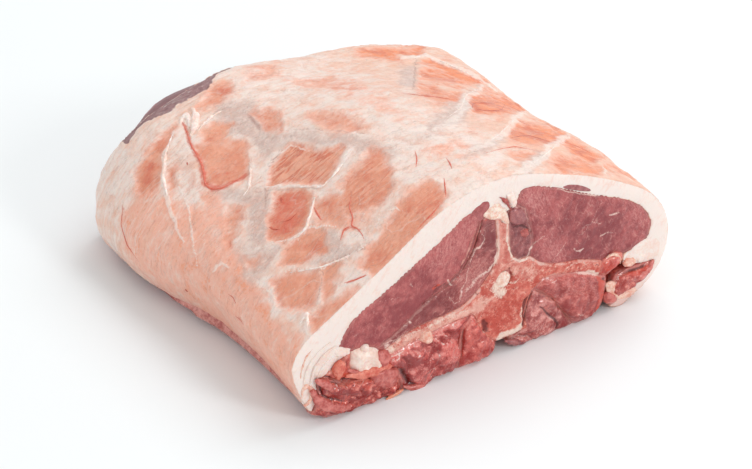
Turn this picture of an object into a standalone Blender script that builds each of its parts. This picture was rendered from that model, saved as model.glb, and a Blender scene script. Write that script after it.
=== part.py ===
"""Raw saddle of lamb, bone in: both loins on the backbone under one arched cover of fat.

Run with: blender --background --python part.py

Metres, +Z up. X runs across the animal's back, Y along the spine with the sawn cut face at -Y.
The origin is the middle of the footprint, on the surface that the saddle rests on.
The cut face is drawn once as a map of seams between the pieces. Every piece is a loop of those
seams, drawn in a little to leave a gap to its neighbours, and lofted along the spine.
"""

import math

import bmesh
import bpy
from mathutils import Vector

MM = 0.001

LENGTH = 169.0  # along the spine, the longest pieces
FRONT = -LENGTH / 2
BACK = LENGTH / 2
SEAM_GAP = 0.6  # clear width between two pieces
MITRE_LIMIT = 2.2  # how far a sharp corner may be drawn in, in seam gaps
PRESSED_FLAT = 0.7  # what lies lower than this is pressed flat on the surface below
FAT_GAP = 0.25  # and this much more between the fat cover and what it lies on
SEAM_STEP = 6.5  # spacing of the points along a seam
SPLINE_PARTS = 12  # fine steps between two of a seam's given points
STATIONS = 13  # spans between the cross-sections along the spine
STATION_CROWDING = 1.35  # above 1 the cross-sections crowd towards the far end

FAR_DROP = 0.13  # share of the height lost towards the far end
FAT_END = 79.0  # Y where the fat cover stops at the far end
FAT_TRIM = 10.0  # how much further the fat is trimmed back over the left shoulder
FAT_TRIM_X = -58.0
FAT_TRIM_WIDTH = 30.0
FAT_TRIM_HEIGHTS = (16.0, 36.0)  # the trim grows from nothing to full between these heights
FAT_RING_STEP = 2.6  # least spacing of the fat's last cross-sections
FEATHER_LENGTH = 38.0  # the fat feathers out over this length at the far end
FEATHER_END = 6.0  # and is thinnest this far from the far end
FEATHER_DEPTH = 13.0  # depth below the skin down to which layers thin
FEATHER_FADE = 52.0  # depth at which the layers keep their place
FEATHER_CENTRE = 8.0  # height of the point that the thinning moves away from
FEATHER_LEAN = 0.6  # share of that move that also goes outwards
FEATHER_HEIGHTS = (10.0, 34.0)  # the thinning grows from nothing to full between these heights
FEATHER_KEEP = 0.34  # share of the fat's thickness left at its far edge
FAR_ROUNDING = 6.0  # how far the rim of the far end is rounded off
FAR_ROUNDING_LENGTH = 18.0
ROUNDING_CENTRE = 26.0  # height that the rounding draws towards
ROUNDING_REACH = 60.0

DROP_REACH = (0.2, 1.0)  # shares of the length between which the back drops
LIFT_HEIGHTS = (8.0, 48.0)  # swells act fully above the second height and not below the first
FLARE_REACH = (20.0, 82.0)  # flares grow between these distances from the spine
FLARE_HEIGHTS = (14.0, 40.0)  # and lose their upper share between these heights
WAVE_START = (0.0, 0.12)
# Slow waves in the back: height, radians for each mm along Y and across X, and phase.
WAVES = ((0.9, 0.045, 0.05, 0.0), (0.6, 0.083, -0.031, 1.3))

# The sides widen or narrow: side, share of the width, how much less so high up, and the shares of
# the length where it starts and is full.
FLARES = {
    "left_waist": (-1.0, -0.03, 0.6, 0.0, 0.2),
    "left_haunch": (-1.0, 0.15, 0.7, 0.36, 0.72),
    "left_corner": (-1.0, -0.14, 0.7, 0.84, 1.0),
    "right_rim": (1.0, 0.01, 0.0, 0.0, 0.06),
    "right_haunch": (1.0, 0.05, 0.0, 0.4, 0.85),
}
# The back swells or sinks: X, half-width, height, and the shares of the length as above.
SWELLS = {
    "left_shoulder": (-64.0, 31.0, 13.5, 0.3, 0.92),
    "crest_dip": (8.0, 32.0, -8.5, 0.3, 0.92),
    "right_rim": (80.0, 22.0, 0.8, 0.0, 0.06),
    "right_shoulder": (92.0, 20.0, 3.5, 0.4, 0.9),
}

CANAL_CENTRE = (7.3, 34.4)
CANAL_RADII = (4.6, 4.4)
CORD_CENTRE = (6.7, 34.0)
CORD_RADII = (3.4, 3.5)
CANAL_OVERRUN = 4.0  # how far the canal's cutter runs past both ends

# Points where three pieces meet, as (X, Z) in the cut face.
LEFT_TIP = (-81.0, 4.4)
LEFT_FOLD = (-77.8, 20.2)
LEFT_NOTCH = (-63.0, 27.2)
LOIN_HEEL = (-51.5, 24.0)
CREST_LEFT = (-4.2, 65.8)
SPINE_LEFT = (2.2, 64.6)
SPINE_RIGHT = (7.4, 64.4)
CREST_RIGHT = (11.6, 67.0)
RIGHT_NOTCH = (67.4, 25.4)
HOOK_TIP = (66.4, 21.5)
RIGHT_FOLD = (83.8, 17.0)
RIGHT_WRAP = (63.8, 4.2)
RIGHT_TIP = (60.6, 1.0)
RIB_LEFT_TOP = (-49.5, 21.0)
RIB_LEFT_LOW = (-47.5, 18.6)
RIB_RIGHT_TOP = (55.6, 25.8)
RIB_RIGHT_LOW = (54.8, 19.6)
ARCH_RIGHT = (19.2, 40.4)
BODY_RIGHT = (20.9, 24.5)
BODY_RIGHT_LOW = (18.6, 7.8)
BODY_LEFT_LOW = (4.3, 6.6)
BODY_LEFT = (-7.0, 23.6)
FILLET_RIGHT = (58.6, 17.4)
FILLET_SPLIT = (43.0, 0.0)
PSOAS_TAIL = (9.5, 3.6)
FILLET_LEFT_LOW = (-14.6, 0.0)
FLANK_TOP = (-48.5, 13.8)
FLANK_LOW = (-40.5, 0.0)
CURL_LOW = (-61.0, 13.4)

# Seams: smooth curves through these points. A seam with no second piece is a free surface.
SEAMS = {
    "skin": [
        LEFT_TIP, (-84.8, 12.0), (-88.4, 21.5), (-89.4, 30.0), (-84.0, 38.3), (-69.5, 47.6),
        (-48.6, 60.0), (-24.0, 75.0), (-3.7, 80.4), (11.3, 80.0), (36.2, 72.6), (64.8, 59.4),
        (82.3, 47.0), (90.0, 32.0), (89.2, 18.5), (82.5, 8.0), (73.5, 2.4), (66.5, 0.0), RIGHT_TIP,
    ],
    "fat_flank_left": [LEFT_TIP, (-79.2, 8.0), (-78.6, 14.0), LEFT_FOLD],
    "fat_curl_left": [LEFT_FOLD, (-73.8, 21.0), (-70.5, 23.4), LEFT_NOTCH],
    "fat_loin_left": [
        LEFT_NOTCH, (-68.6, 29.8), (-66.6, 34.5), (-62.5, 40.2), (-48.6, 47.4), (-25.0, 60.8),
        (-8.0, 70.2), (-4.8, 69.4), CREST_LEFT,
    ],
    "fat_deep_left": [CREST_LEFT, SPINE_LEFT],
    "fat_bone": [SPINE_LEFT, (4.8, 66.2), SPINE_RIGHT],
    "fat_deep_right": [SPINE_RIGHT, (9.2, 66.4), CREST_RIGHT],
    "fat_loin_right": [
        CREST_RIGHT, (12.2, 71.2), (17.0, 72.3), (31.2, 67.3), (48.1, 58.8), (69.2, 49.1),
        (78.6, 40.0), (80.6, 33.0), (78.4, 28.0), (73.0, 26.2), RIGHT_NOTCH,
    ],
    "fat_curl_right": [RIGHT_NOTCH, HOOK_TIP],
    "fat_hollow": [HOOK_TIP, (72.0, 19.5), (79.0, 18.8), RIGHT_FOLD],
    "fat_flank_right": [RIGHT_FOLD, (83.6, 13.2), (79.0, 9.6), (72.0, 6.4), RIGHT_WRAP],
    "fat_tip_right": [RIGHT_WRAP, RIGHT_TIP],
    "flank_hollow": [
        RIGHT_WRAP, (61.2, 6.4), (60.6, 10.0), (62.0, 14.0), (66.0, 16.8), (74.0, 16.9), RIGHT_FOLD,
    ],
    "loin_deep_left": [
        CREST_LEFT, (-6.9, 57.5), (-10.4, 48.8), (-17.6, 42.6), (-30.2, 36.2), (-43.0, 27.9), LOIN_HEEL,
    ],
    "loin_seam_fat": [LOIN_HEEL, (-56.5, 27.0), LEFT_NOTCH],
    "bone_deep_left": [
        SPINE_LEFT, (3.2, 54.5), (3.7, 46.5), (0.6, 39.2), (-5.0, 33.6), (-12.0, 28.6), (-26.0, 27.2),
        (-38.0, 25.7), RIB_LEFT_TOP,
    ],
    "deep_seam_fat": [RIB_LEFT_TOP, LOIN_HEEL],
    "bone_deep_right": [SPINE_RIGHT, (8.6, 55.0), (9.1, 46.5), (11.2, 42.0), (15.0, 40.0), ARCH_RIGHT],
    "bone_loin_right": [ARCH_RIGHT, (24.0, 36.0), (31.2, 32.6), (44.0, 30.2), RIB_RIGHT_TOP],
    "bone_curl_right": [RIB_RIGHT_TOP, (56.8, 22.6), RIB_RIGHT_LOW],
    "bone_fillet_right": [RIB_RIGHT_LOW, (48.0, 23.8), (36.0, 27.0), (26.0, 28.0), BODY_RIGHT],
    "bone_psoas_right": [BODY_RIGHT, (18.5, 18.0), (17.4, 12.2), BODY_RIGHT_LOW],
    "bone_base": [BODY_RIGHT_LOW, (11.0, 6.6), BODY_LEFT_LOW],
    "bone_fillet_left": [BODY_LEFT_LOW, (2.0, 10.0), (-3.0, 12.6), (-4.4, 18.0), BODY_LEFT],
    "bone_undercut": [BODY_LEFT, (-15.5, 23.4), (-30.0, 22.0), RIB_LEFT_LOW],
    "bone_seam_fat": [RIB_LEFT_LOW, RIB_LEFT_TOP],
    "deep_loin_right": [CREST_RIGHT, (16.8, 62.8), (18.4, 55.0), (20.6, 47.5), ARCH_RIGHT],
    "curl_loin_right": [RIGHT_NOTCH, (62.0, 28.0), RIB_RIGHT_TOP],
    "curl_fillet_right": [RIB_RIGHT_LOW, FILLET_RIGHT],
    "curl_hollow": [FILLET_RIGHT, (62.5, 17.8), HOOK_TIP],
    "fillet_psoas_right": [BODY_RIGHT, (27.0, 20.5), (32.5, 15.0), (37.0, 8.0), FILLET_SPLIT],
    "fillet_base_right": [FILLET_SPLIT, (50.0, 0.0), (55.5, 1.8), (58.0, 7.0), (58.6, 12.5), FILLET_RIGHT],
    "psoas_base": [FILLET_SPLIT, (34.0, 0.0), (24.0, 0.0), (14.5, 0.4), PSOAS_TAIL],
    "psoas_tail": [PSOAS_TAIL, (14.0, 5.2), BODY_RIGHT_LOW],
    "fillet_undercut": [BODY_LEFT, (-12.0, 19.5), (-13.8, 12.0), FILLET_LEFT_LOW],
    "fillet_base_left": [FILLET_LEFT_LOW, (-7.0, 0.0), (1.0, 0.0), (4.8, 2.8), BODY_LEFT_LOW],
    "undercut_seam_fat": [RIB_LEFT_LOW, FLANK_TOP],
    "undercut_flank": [FLANK_TOP, (-44.0, 12.0), (-41.5, 7.0), FLANK_LOW],
    "undercut_base": [FLANK_LOW, (-30.0, 0.0), (-20.0, 0.0), FILLET_LEFT_LOW],
    "flank_curl_left": [LEFT_FOLD, (-73.6, 19.0), (-70.6, 16.2), (-66.5, 14.2), CURL_LOW],
    "flank_seam_fat": [CURL_LOW, (-55.0, 12.4), FLANK_TOP],
    "flank_base_left": [FLANK_LOW, (-48.0, 0.0), (-60.0, 0.0), (-70.0, 0.2), (-76.0, 1.6), LEFT_TIP],
    "curl_seam_fat": [LEFT_NOTCH, (-63.8, 22.0), (-62.8, 17.0), CURL_LOW],
}

FAT_LOOP = [
    "skin", "-fat_tip_right", "-fat_flank_right", "-fat_hollow", "-fat_curl_right", "-fat_loin_right",
    "-fat_deep_right", "-fat_bone", "-fat_deep_left", "-fat_loin_left", "-fat_curl_left", "-fat_flank_left",
]
# Each piece: its loop of seams, where a minus walks the seam backwards, and its finish.
PIECES = {
    "fat_cover": (FAT_LOOP, "fat"),
    "loin_left": (["fat_loin_left", "loin_deep_left", "loin_seam_fat"], "lean"),
    "loin_right": (["fat_loin_right", "curl_loin_right", "-bone_loin_right", "-deep_loin_right"], "lean"),
    "deep_muscle_left": (
        ["fat_deep_left", "bone_deep_left", "deep_seam_fat", "-loin_deep_left"], "lean_dark",
    ),
    "deep_muscle_right": (["fat_deep_right", "deep_loin_right", "-bone_deep_right"], "lean_dark"),
    "backbone": (
        ["fat_bone", "bone_deep_right", "bone_loin_right", "bone_curl_right", "bone_fillet_right",
         "bone_psoas_right", "bone_base", "bone_fillet_left", "bone_undercut", "bone_seam_fat",
         "-bone_deep_left"], "bone",
    ),
    "tenderloin_right": (
        ["bone_fillet_right", "fillet_psoas_right", "fillet_base_right", "-curl_fillet_right"], "lean_red",
    ),
    "psoas_right": (
        ["fillet_psoas_right", "psoas_base", "psoas_tail", "-bone_psoas_right"], "lean_dark",
    ),
    "tenderloin_left": (["bone_fillet_left", "fillet_undercut", "fillet_base_left"], "lean_red"),
    "undercut_left": (
        ["bone_undercut", "undercut_seam_fat", "undercut_flank", "undercut_base", "-fillet_undercut"],
        "lean_red",
    ),
    "flank_left": (
        ["fat_flank_left", "flank_curl_left", "flank_seam_fat", "undercut_flank", "flank_base_left"],
        "lean_red",
    ),
    "flank_right": (["fat_flank_right", "flank_hollow"], "lean_red"),
    "curl_left": (["fat_curl_left", "curl_seam_fat", "-flank_curl_left"], "lean_bright"),
    "curl_right": (
        ["curl_loin_right", "bone_curl_right", "curl_fillet_right", "curl_hollow", "-fat_curl_right"],
        "lean_bright",
    ),
    "seam_fat_left": (
        ["-loin_seam_fat", "-deep_seam_fat", "-bone_seam_fat", "undercut_seam_fat", "-flank_seam_fat",
         "-curl_seam_fat"], "fat",
    ),
}

# Finish: base colour, roughness, metallic.
FINISHES = {
    "fat": ((0.86, 0.66, 0.56), 0.38, 0.0),
    "lean": ((0.42, 0.13, 0.14), 0.34, 0.0),
    "lean_dark": ((0.36, 0.11, 0.12), 0.34, 0.0),
    "lean_red": ((0.50, 0.12, 0.11), 0.32, 0.0),
    "lean_bright": ((0.66, 0.22, 0.16), 0.32, 0.0),
    "bone": ((0.62, 0.25, 0.20), 0.50, 0.0),
    "cord": ((0.86, 0.78, 0.70), 0.40, 0.0),
}
# Rounded rim at the near cut and at the far cut: its width, and how far the face inside it swells out.
CUT_RIMS = {
    "fat": ((1.2, 0.3), (0.5, 0.3)),
    "lean": ((1.4, 1.0), (1.2, 0.8)),
    "lean_dark": ((1.2, 0.8), (1.0, 0.6)),
    "lean_red": ((1.8, 2.0), (1.2, 1.0)),
    "lean_bright": ((1.2, 1.4), (1.0, 0.8)),
    "bone": ((0.7, 0.3), (0.5, 0.3)),
    "cord": ((0.8, 0.5), (0.8, 0.5)),
}


def clear_scene():
    """Remove everything the file opened with."""
    for thing in list(bpy.data.objects):
        bpy.data.objects.remove(thing, do_unlink=True)


def ramp(value, low, high):
    """Smooth step from 0 at low to 1 at high."""
    share = min(max((value - low) / (high - low), 0.0), 1.0)
    return share * share * (3.0 - 2.0 * share)


def spline_point(corners, share):
    """A point between the middle two of four corners, on their centripetal Catmull-Rom curve."""
    knots = [0.0]
    for first, second in zip(corners, corners[1:]):
        knots.append(knots[-1] + (second - first).length ** 0.5)
    place = knots[1] + share * (knots[2] - knots[1])
    thirds = [
        corners[index].lerp(corners[index + 1], (place - knots[index]) / (knots[index + 1] - knots[index]))
        for index in range(3)
    ]
    halves = [
        thirds[index].lerp(thirds[index + 1], (place - knots[index]) / (knots[index + 2] - knots[index]))
        for index in range(2)
    ]
    return halves[0].lerp(halves[1], share)


def smooth_curve(points):
    """Points at even spacing along the smooth open curve through the given points."""
    corners = [Vector(point) for point in points]
    corners = [2 * corners[0] - corners[1]] + corners + [2 * corners[-1] - corners[-2]]
    fine = [
        spline_point(corners[index:index + 4], part / SPLINE_PARTS)
        for index in range(len(corners) - 3)
        for part in range(SPLINE_PARTS)
    ]
    fine.append(corners[-2])
    lengths = [0.0]
    for first, second in zip(fine, fine[1:]):
        lengths.append(lengths[-1] + (second - first).length)
    pieces = max(1, round(lengths[-1] / SEAM_STEP))
    sampled, place = [], 0
    for number in range(pieces + 1):
        wanted = lengths[-1] * number / pieces
        while place < len(lengths) - 2 and lengths[place + 1] < wanted:
            place += 1
        share = (wanted - lengths[place]) / (lengths[place + 1] - lengths[place])
        sampled.append(fine[place].lerp(fine[place + 1], share))
    return sampled


def loop_of(names, curves):
    """The closed outline of a piece, counter-clockwise, from its seams."""
    outline = []
    for name in names:
        points = curves[name.lstrip("-")]
        if name.startswith("-"):
            points = points[::-1]
        outline.extend(points[:-1])
    area = sum(a.x * b.y - b.x * a.y for a, b in zip(outline, outline[1:] + outline[:1]))
    return outline if area > 0 else outline[::-1]


def drawn_in(outline, distance):
    """The outline moved inwards, so that neighbours keep clear of each other, and flat where it rests."""
    moved = []
    count = len(outline)
    for index, point in enumerate(outline):
        back = (point - outline[index - 1]).normalized()
        ahead = (outline[(index + 1) % count] - point).normalized()
        inward = Vector((-back.y, back.x)) + Vector((-ahead.y, ahead.x))
        reach = min(2.0 / max(inward.length, 0.2), MITRE_LIMIT)
        place = point + inward.normalized() * distance * reach
        if place.y < PRESSED_FLAT:
            place.y = 0.0
        moved.append(place)
    return moved


def ellipse(centre, radii, count):
    """A closed ellipse in the cut face."""
    turns = (2 * math.pi * number / count for number in range(count))
    return [Vector((centre[0] + radii[0] * math.cos(a), centre[1] + radii[1] * math.sin(a))) for a in turns]


class Form:
    """The shape of the whole saddle, which bends the straight loft of every piece."""

    def __init__(self, skin):
        self.skin = skin
        self.planes = [
            BACK - LENGTH * (1.0 - number / STATIONS) ** STATION_CROWDING for number in range(STATIONS + 1)
        ]

    def skin_depth(self, point):
        """How deep a point of the section lies under the skin."""
        least = FEATHER_FADE
        for first, second in zip(self.skin, self.skin[1:]):
            edge = second - first
            share = min(max((point - first).dot(edge) / edge.length_squared, 0.0), 1.0)
            least = min(least, (first + edge * share - point).length)
        return least

    def feathered(self, point, y):
        """The point moved towards the skin, where the fat thins out at the far end."""
        feather = ramp(y, BACK - FEATHER_LENGTH, BACK - FEATHER_END)
        if feather == 0.0:
            return point.copy()
        depth = self.skin_depth(point)
        fading = (FEATHER_FADE - depth) / (FEATHER_FADE - FEATHER_DEPTH)
        reach = min(depth, FEATHER_DEPTH * min(fading, 1.0))
        way = Vector((point.x * FEATHER_LEAN, point.y - FEATHER_CENTRE)).normalized()
        return point + way * (1.0 - FEATHER_KEEP) * feather * reach * ramp(point.y, *FEATHER_HEIGHTS)

    def place(self, point, y):
        """Where a point of the cut face's section comes to lie at this place along the spine."""
        along = (y - FRONT) / LENGTH
        spot = self.feathered(point, y)
        outward = spot - Vector((0.0, ROUNDING_CENTRE))
        far = max(0.0, (y - BACK + FAR_ROUNDING_LENGTH) / FAR_ROUNDING_LENGTH)
        share = min(outward.length / ROUNDING_REACH, 1.2)
        spot -= outward.normalized() * FAR_ROUNDING * (far * share) ** 2
        widening = sum(
            size * ramp(along, start, full) * ramp(point.x * side, *FLARE_REACH)
            * (1.0 - upper * ramp(point.y, *FLARE_HEIGHTS))
            for side, size, upper, start, full in FLARES.values()
        )
        lift = sum(
            size * ramp(along, start, full) * math.exp(-((point.x - middle) / width) ** 2)
            for middle, width, size, start, full in SWELLS.values()
        )
        lift += ramp(along, *WAVE_START) * sum(
            size * math.sin(along_y * y + across * point.x + phase) for size, along_y, across, phase in WAVES
        )
        height = spot.y * (1.0 - FAR_DROP * ramp(along, *DROP_REACH)) + lift * ramp(point.y, *LIFT_HEIGHTS)
        return Vector((spot.x * (1.0 + widening), y, height)) * MM

    def ruled(self, point, y):
        """The same place on the straight spans between the shared cross-sections, so gaps keep even."""
        index = 0
        while index < STATIONS - 1 and self.planes[index + 1] < y:
            index += 1
        low, high = self.planes[index], self.planes[index + 1]
        near, far = self.place(point, low), self.place(point, high)
        return near.lerp(far, (y - low) / (high - low))


def skin_over(shape, rings):
    """Join the rings into the wall of a closed solid, and give its two end faces."""
    count = len(rings[0])
    for near, far in zip(rings, rings[1:]):
        for index in range(count):
            after = (index + 1) % count
            shape.faces.new((near[index], near[after], far[after], far[index]))
    ends = [shape.faces.new(rings[0][::-1]), shape.faces.new(rings[-1])]
    bmesh.ops.recalc_face_normals(shape, faces=shape.faces)
    return ends


def loft(outline, form, end_of, rims):
    """A closed solid: the outline carried from the cut face to its far end along the spine."""
    shape = bmesh.new()
    rings = []
    for number, plane in enumerate(form.planes):
        room = FAT_RING_STEP * (STATIONS - number)
        rings.append([
            shape.verts.new(form.ruled(point, min(plane, end_of(point) - room))) for point in outline
        ])
    for face, (width, swell) in zip(skin_over(shape, rings), rims):
        bmesh.ops.inset_region(
            shape, faces=[face], thickness=width * MM, depth=swell * MM, use_even_offset=True,
        )
    return shape


def finish_material(name):
    """A Principled material with the piece's colour from the photograph."""
    colour, roughness, metallic = FINISHES[name]
    material = bpy.data.materials.get(name) or bpy.data.materials.new(name)
    material.use_nodes = True
    shader = material.node_tree.nodes["Principled BSDF"]
    shader.inputs["Base Color"].default_value = (*colour, 1.0)
    shader.inputs["Roughness"].default_value = roughness
    shader.inputs["Metallic"].default_value = metallic
    material.diffuse_color = (*colour, 1.0)
    return material


def add_object(name, shape, finish):
    """Put a finished bmesh in the scene as one named object."""
    mesh = bpy.data.meshes.new(name)
    shape.to_mesh(mesh)
    shape.free()
    mesh.shade_smooth()
    thing = bpy.data.objects.new(name, mesh)
    bpy.context.scene.collection.objects.link(thing)
    thing.data.materials.append(finish_material(finish))
    return thing


def fat_end(point):
    """Y of the fat cover's trimmed far edge: cut back further over the left shoulder."""
    away = (point.x - FAT_TRIM_X) / FAT_TRIM_WIDTH
    return FAT_END - FAT_TRIM * math.exp(-away * away) * ramp(point.y, *FAT_TRIM_HEIGHTS)


def lean_end(point):
    """Y of the far cut through lean and bone."""
    return BACK


def make_pieces(curves, form):
    """Every piece of the saddle, as its own solid."""
    made = []
    for name, (names, finish) in PIECES.items():
        is_cover = name == "fat_cover"
        outline = drawn_in(loop_of(names, curves), SEAM_GAP / 2 + (FAT_GAP if is_cover else 0.0))
        end_of = fat_end if is_cover else lean_end
        made.append(add_object(name, loft(outline, form, end_of, CUT_RIMS[finish]), finish))
    cord = ellipse(CORD_CENTRE, CORD_RADII, 12)
    made.append(add_object("spinal_cord", loft(cord, form, lean_end, CUT_RIMS["cord"]), "cord"))
    return made


def open_canal(backbone, form):
    """Cut the spinal canal through the vertebrae, from end to end."""
    outline = ellipse(CANAL_CENTRE, CANAL_RADII, 16)
    shape = bmesh.new()
    rings = [[shape.verts.new(form.place(point, plane)) for point in outline] for plane in form.planes]
    skin_over(shape, rings)
    overrun = CANAL_OVERRUN * MM
    for vertex in shape.verts:
        if vertex.co.y < (FRONT + 0.1) * MM:
            vertex.co.y -= overrun
        elif vertex.co.y > (BACK - 0.1) * MM:
            vertex.co.y += overrun
    cutter = add_object("canal_cutter", shape, "bone")
    cutter.hide_render = True
    cutter.display_type = "WIRE"
    cut = backbone.modifiers.new("canal", "BOOLEAN")
    cut.operation = "DIFFERENCE"
    cut.solver = "EXACT"
    cut.object = cutter
    return cutter


def centre_on_origin(pieces, helpers):
    """Stand the saddle on Z = 0 with the middle of its footprint at the origin."""
    corners = [vertex.co for piece in pieces for vertex in piece.data.vertices]
    low = Vector([min(corner[axis] for corner in corners) for axis in range(3)])
    high = Vector([max(corner[axis] for corner in corners) for axis in range(3)])
    shift = Vector((-(low.x + high.x) / 2, -(low.y + high.y) / 2, -low.z))
    for thing in pieces + helpers:
        for vertex in thing.data.vertices:
            vertex.co += shift


def main():
    clear_scene()
    curves = {name: smooth_curve(points) for name, points in SEAMS.items()}
    form = Form(curves["skin"])
    pieces = make_pieces(curves, form)
    backbone = next(piece for piece in pieces if piece.name == "backbone")
    centre_on_origin(pieces, [open_canal(backbone, form)])


main()
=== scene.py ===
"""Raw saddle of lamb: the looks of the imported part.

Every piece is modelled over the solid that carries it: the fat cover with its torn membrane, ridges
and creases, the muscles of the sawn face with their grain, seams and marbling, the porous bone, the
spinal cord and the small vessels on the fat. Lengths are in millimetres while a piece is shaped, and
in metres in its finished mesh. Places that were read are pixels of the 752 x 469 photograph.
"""

import logging
import math
from dataclasses import dataclass
from enum import Enum

import bmesh
import bpy
import numpy as np
from mathutils import Matrix, Vector, noise
from mathutils.bvhtree import BVHTree


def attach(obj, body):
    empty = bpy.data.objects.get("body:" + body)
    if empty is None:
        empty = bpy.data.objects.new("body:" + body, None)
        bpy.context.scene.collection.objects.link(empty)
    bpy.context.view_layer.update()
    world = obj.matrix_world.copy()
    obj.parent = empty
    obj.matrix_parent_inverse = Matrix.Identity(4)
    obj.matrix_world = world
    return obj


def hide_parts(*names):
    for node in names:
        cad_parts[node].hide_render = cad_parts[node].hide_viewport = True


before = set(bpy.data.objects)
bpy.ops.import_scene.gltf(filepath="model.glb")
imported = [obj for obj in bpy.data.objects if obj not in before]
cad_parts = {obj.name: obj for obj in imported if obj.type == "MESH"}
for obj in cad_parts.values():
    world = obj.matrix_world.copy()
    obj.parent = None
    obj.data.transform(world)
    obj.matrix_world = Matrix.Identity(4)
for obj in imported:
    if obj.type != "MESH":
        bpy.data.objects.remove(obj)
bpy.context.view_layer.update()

LOG = logging.getLogger("saddle")
MM = 0.001

# Both cuts along the spine, and the share that is pressed back of what lies beyond END_REACH
SAWN_Y = -84.0
FAR_Y = 85.0
END_REACH = 87.0
END_PRESS = 0.6

# The middle of the saddle's arch and about how wide it is
BODY_AXIS_HEIGHT = 20.0
GIRTH_RADIUS = 75.0

Triple = tuple[float, float, float]
Colour = tuple[float, float, float, float]


def srgb(red: float, green: float, blue: float) -> Colour:
    """A colour given as it looks, 0 to 255, as linear shader values."""
    looks = [c / 255 for c in (red, green, blue)]
    return (*(c / 12.92 if c <= 0.04045 else ((c + 0.055) / 1.055) ** 2.4 for c in looks), 1.0)


def smoothstep(values: np.ndarray, low: float, high: float) -> np.ndarray:
    """Smooth step from 0 at low to 1 at high, over an array."""
    share = np.clip((values - low) / (high - low), 0.0, 1.0)
    return share * share * (3.0 - 2.0 * share)


def put(name: str, data: bpy.types.ID) -> bpy.types.Object:
    """Add an object to the scene.

    Args:
        name: Its name.
        data: Its mesh, curve, light or camera.

    Returns:
        The object.
    """
    made = bpy.data.objects.new(name, data)
    bpy.context.scene.collection.objects.link(made)
    return made


def noise_at(points: np.ndarray, size: float, seed: float = 0.0,
             stretch: Triple = (1.0, 1.0, 1.0)) -> np.ndarray:
    """Smooth noise over points.

    Args:
        points: One row for each point, in millimetres.
        size: Width of the noise's bumps in millimetres.
        seed: Shifts the pattern.
        stretch: How much longer the bumps are along each axis.

    Returns:
        A value from about -1 to 1 for each point.
    """
    scaled = points / (size * np.array(stretch, float)) + seed
    return np.fromiter((noise.noise(place) for place in scaled.tolist()), float, len(points))


def rows(pixels: str) -> np.ndarray:
    """Pixels written as "x,y x,y", as rows (x, y)."""
    return np.array([pixel.split(",") for pixel in pixels.split()], float)


def distance_to_line(places: np.ndarray, line: np.ndarray) -> tuple[np.ndarray, np.ndarray]:
    """How far each place is from an open line.

    Args:
        places: One row (x, y) for each place.
        line: One row for each of the line's points.

    Returns:
        The distances, and how far along the line, 0 to 1, the nearest spot lies.
    """
    lengths = np.linalg.norm(np.diff(line, axis=0), axis=1)
    starts = np.concatenate([[0.0], np.cumsum(lengths)[:-1]])
    best = np.full(len(places), np.inf)
    along = np.zeros(len(places))
    for start, end, length, before in zip(line, line[1:], lengths, starts):
        edge = end - start
        share = np.clip((places - start) @ edge / (length * length), 0.0, 1.0)
        far = np.linalg.norm(places - start - share[:, None] * edge, axis=1)
        nearer = far < best
        best[nearer] = far[nearer]
        along[nearer] = (before + share[nearer] * length) / lengths.sum()
    return best, along


def depth_in_outline(places: np.ndarray, outline: np.ndarray) -> np.ndarray:
    """How deep each place lies inside a closed outline.

    Args:
        places: One row (x, y) for each place.
        outline: One row for each corner.

    Returns:
        The distance to the outline, negative outside it.
    """
    far, _ = distance_to_line(places, np.vstack([outline, outline[:1]]))
    inside = np.zeros(len(places), bool)
    for start, end in zip(outline, np.roll(outline, -1, axis=0)):
        if start[1] == end[1]:
            continue
        crosses = (start[1] > places[:, 1]) != (end[1] > places[:, 1])
        at = start[0] + (places[:, 1] - start[1]) * (end[0] - start[0]) / (end[1] - start[1])
        inside ^= crosses & (places[:, 0] < at)
    return np.where(inside, far, -far)


@dataclass(frozen=True)
class PhotoCamera:
    """The camera of the photograph, in the part's frame."""

    azimuth_deg: float = -33.0
    elevation_deg: float = 32.0
    place: Triple = (-400.51, -621.87, 475.40)
    focal_px: float = 2080.0
    frame_px: tuple[int, int] = (752, 469)
    sensor_mm: float = 36.0
    clip_m: tuple[float, float] = (0.01, 20.0)

    def axes(self) -> np.ndarray:
        """The camera's own axes.

        Returns:
            Rows: right, up and backwards, as unit vectors.
        """
        azimuth, elevation = math.radians(self.azimuth_deg), math.radians(self.elevation_deg)
        right = np.array([math.cos(azimuth), math.sin(azimuth), 0.0])
        level = np.array([math.sin(azimuth), -math.cos(azimuth), 0.0])
        back = level * math.cos(elevation) + np.array([0.0, 0.0, math.sin(elevation)])
        return np.array([right, np.cross(back, right), back])

    def project(self, points: np.ndarray) -> np.ndarray:
        """The pixel of each point in millimetres."""
        seen = (points - np.array(self.place)) @ self.axes().T
        return np.array(self.frame_px) / 2 + self.focal_px * seen[:, :2] * (1.0, -1.0) / -seen[:, 2:3]

    def ray(self, pixel: np.ndarray) -> Vector:
        """The way that the camera looks through a pixel."""
        across, down = (pixel - np.array(self.frame_px) / 2) / self.focal_px
        return Vector(np.array([across, -down, -1.0]) @ self.axes()).normalized()

    def facing(self, points: np.ndarray, normals: np.ndarray) -> np.ndarray:
        """Cosine between each normal and the way to the camera."""
        way = np.array(self.place) - points
        return (way * normals).sum(1) / np.linalg.norm(way, axis=1)

    def add(self) -> None:
        """Put the camera in the scene and make it the one that renders."""
        data = bpy.data.cameras.new("photo_camera")
        data.sensor_width = self.sensor_mm
        data.sensor_fit = "HORIZONTAL"
        data.lens = self.focal_px * self.sensor_mm / self.frame_px[0]
        data.clip_start, data.clip_end = self.clip_m
        camera = put("photo_camera", data)
        turned = Matrix(self.axes().T.tolist()).to_4x4()
        camera.matrix_world = Matrix.Translation(Vector(self.place) * MM) @ turned
        bpy.context.scene.camera = camera


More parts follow.
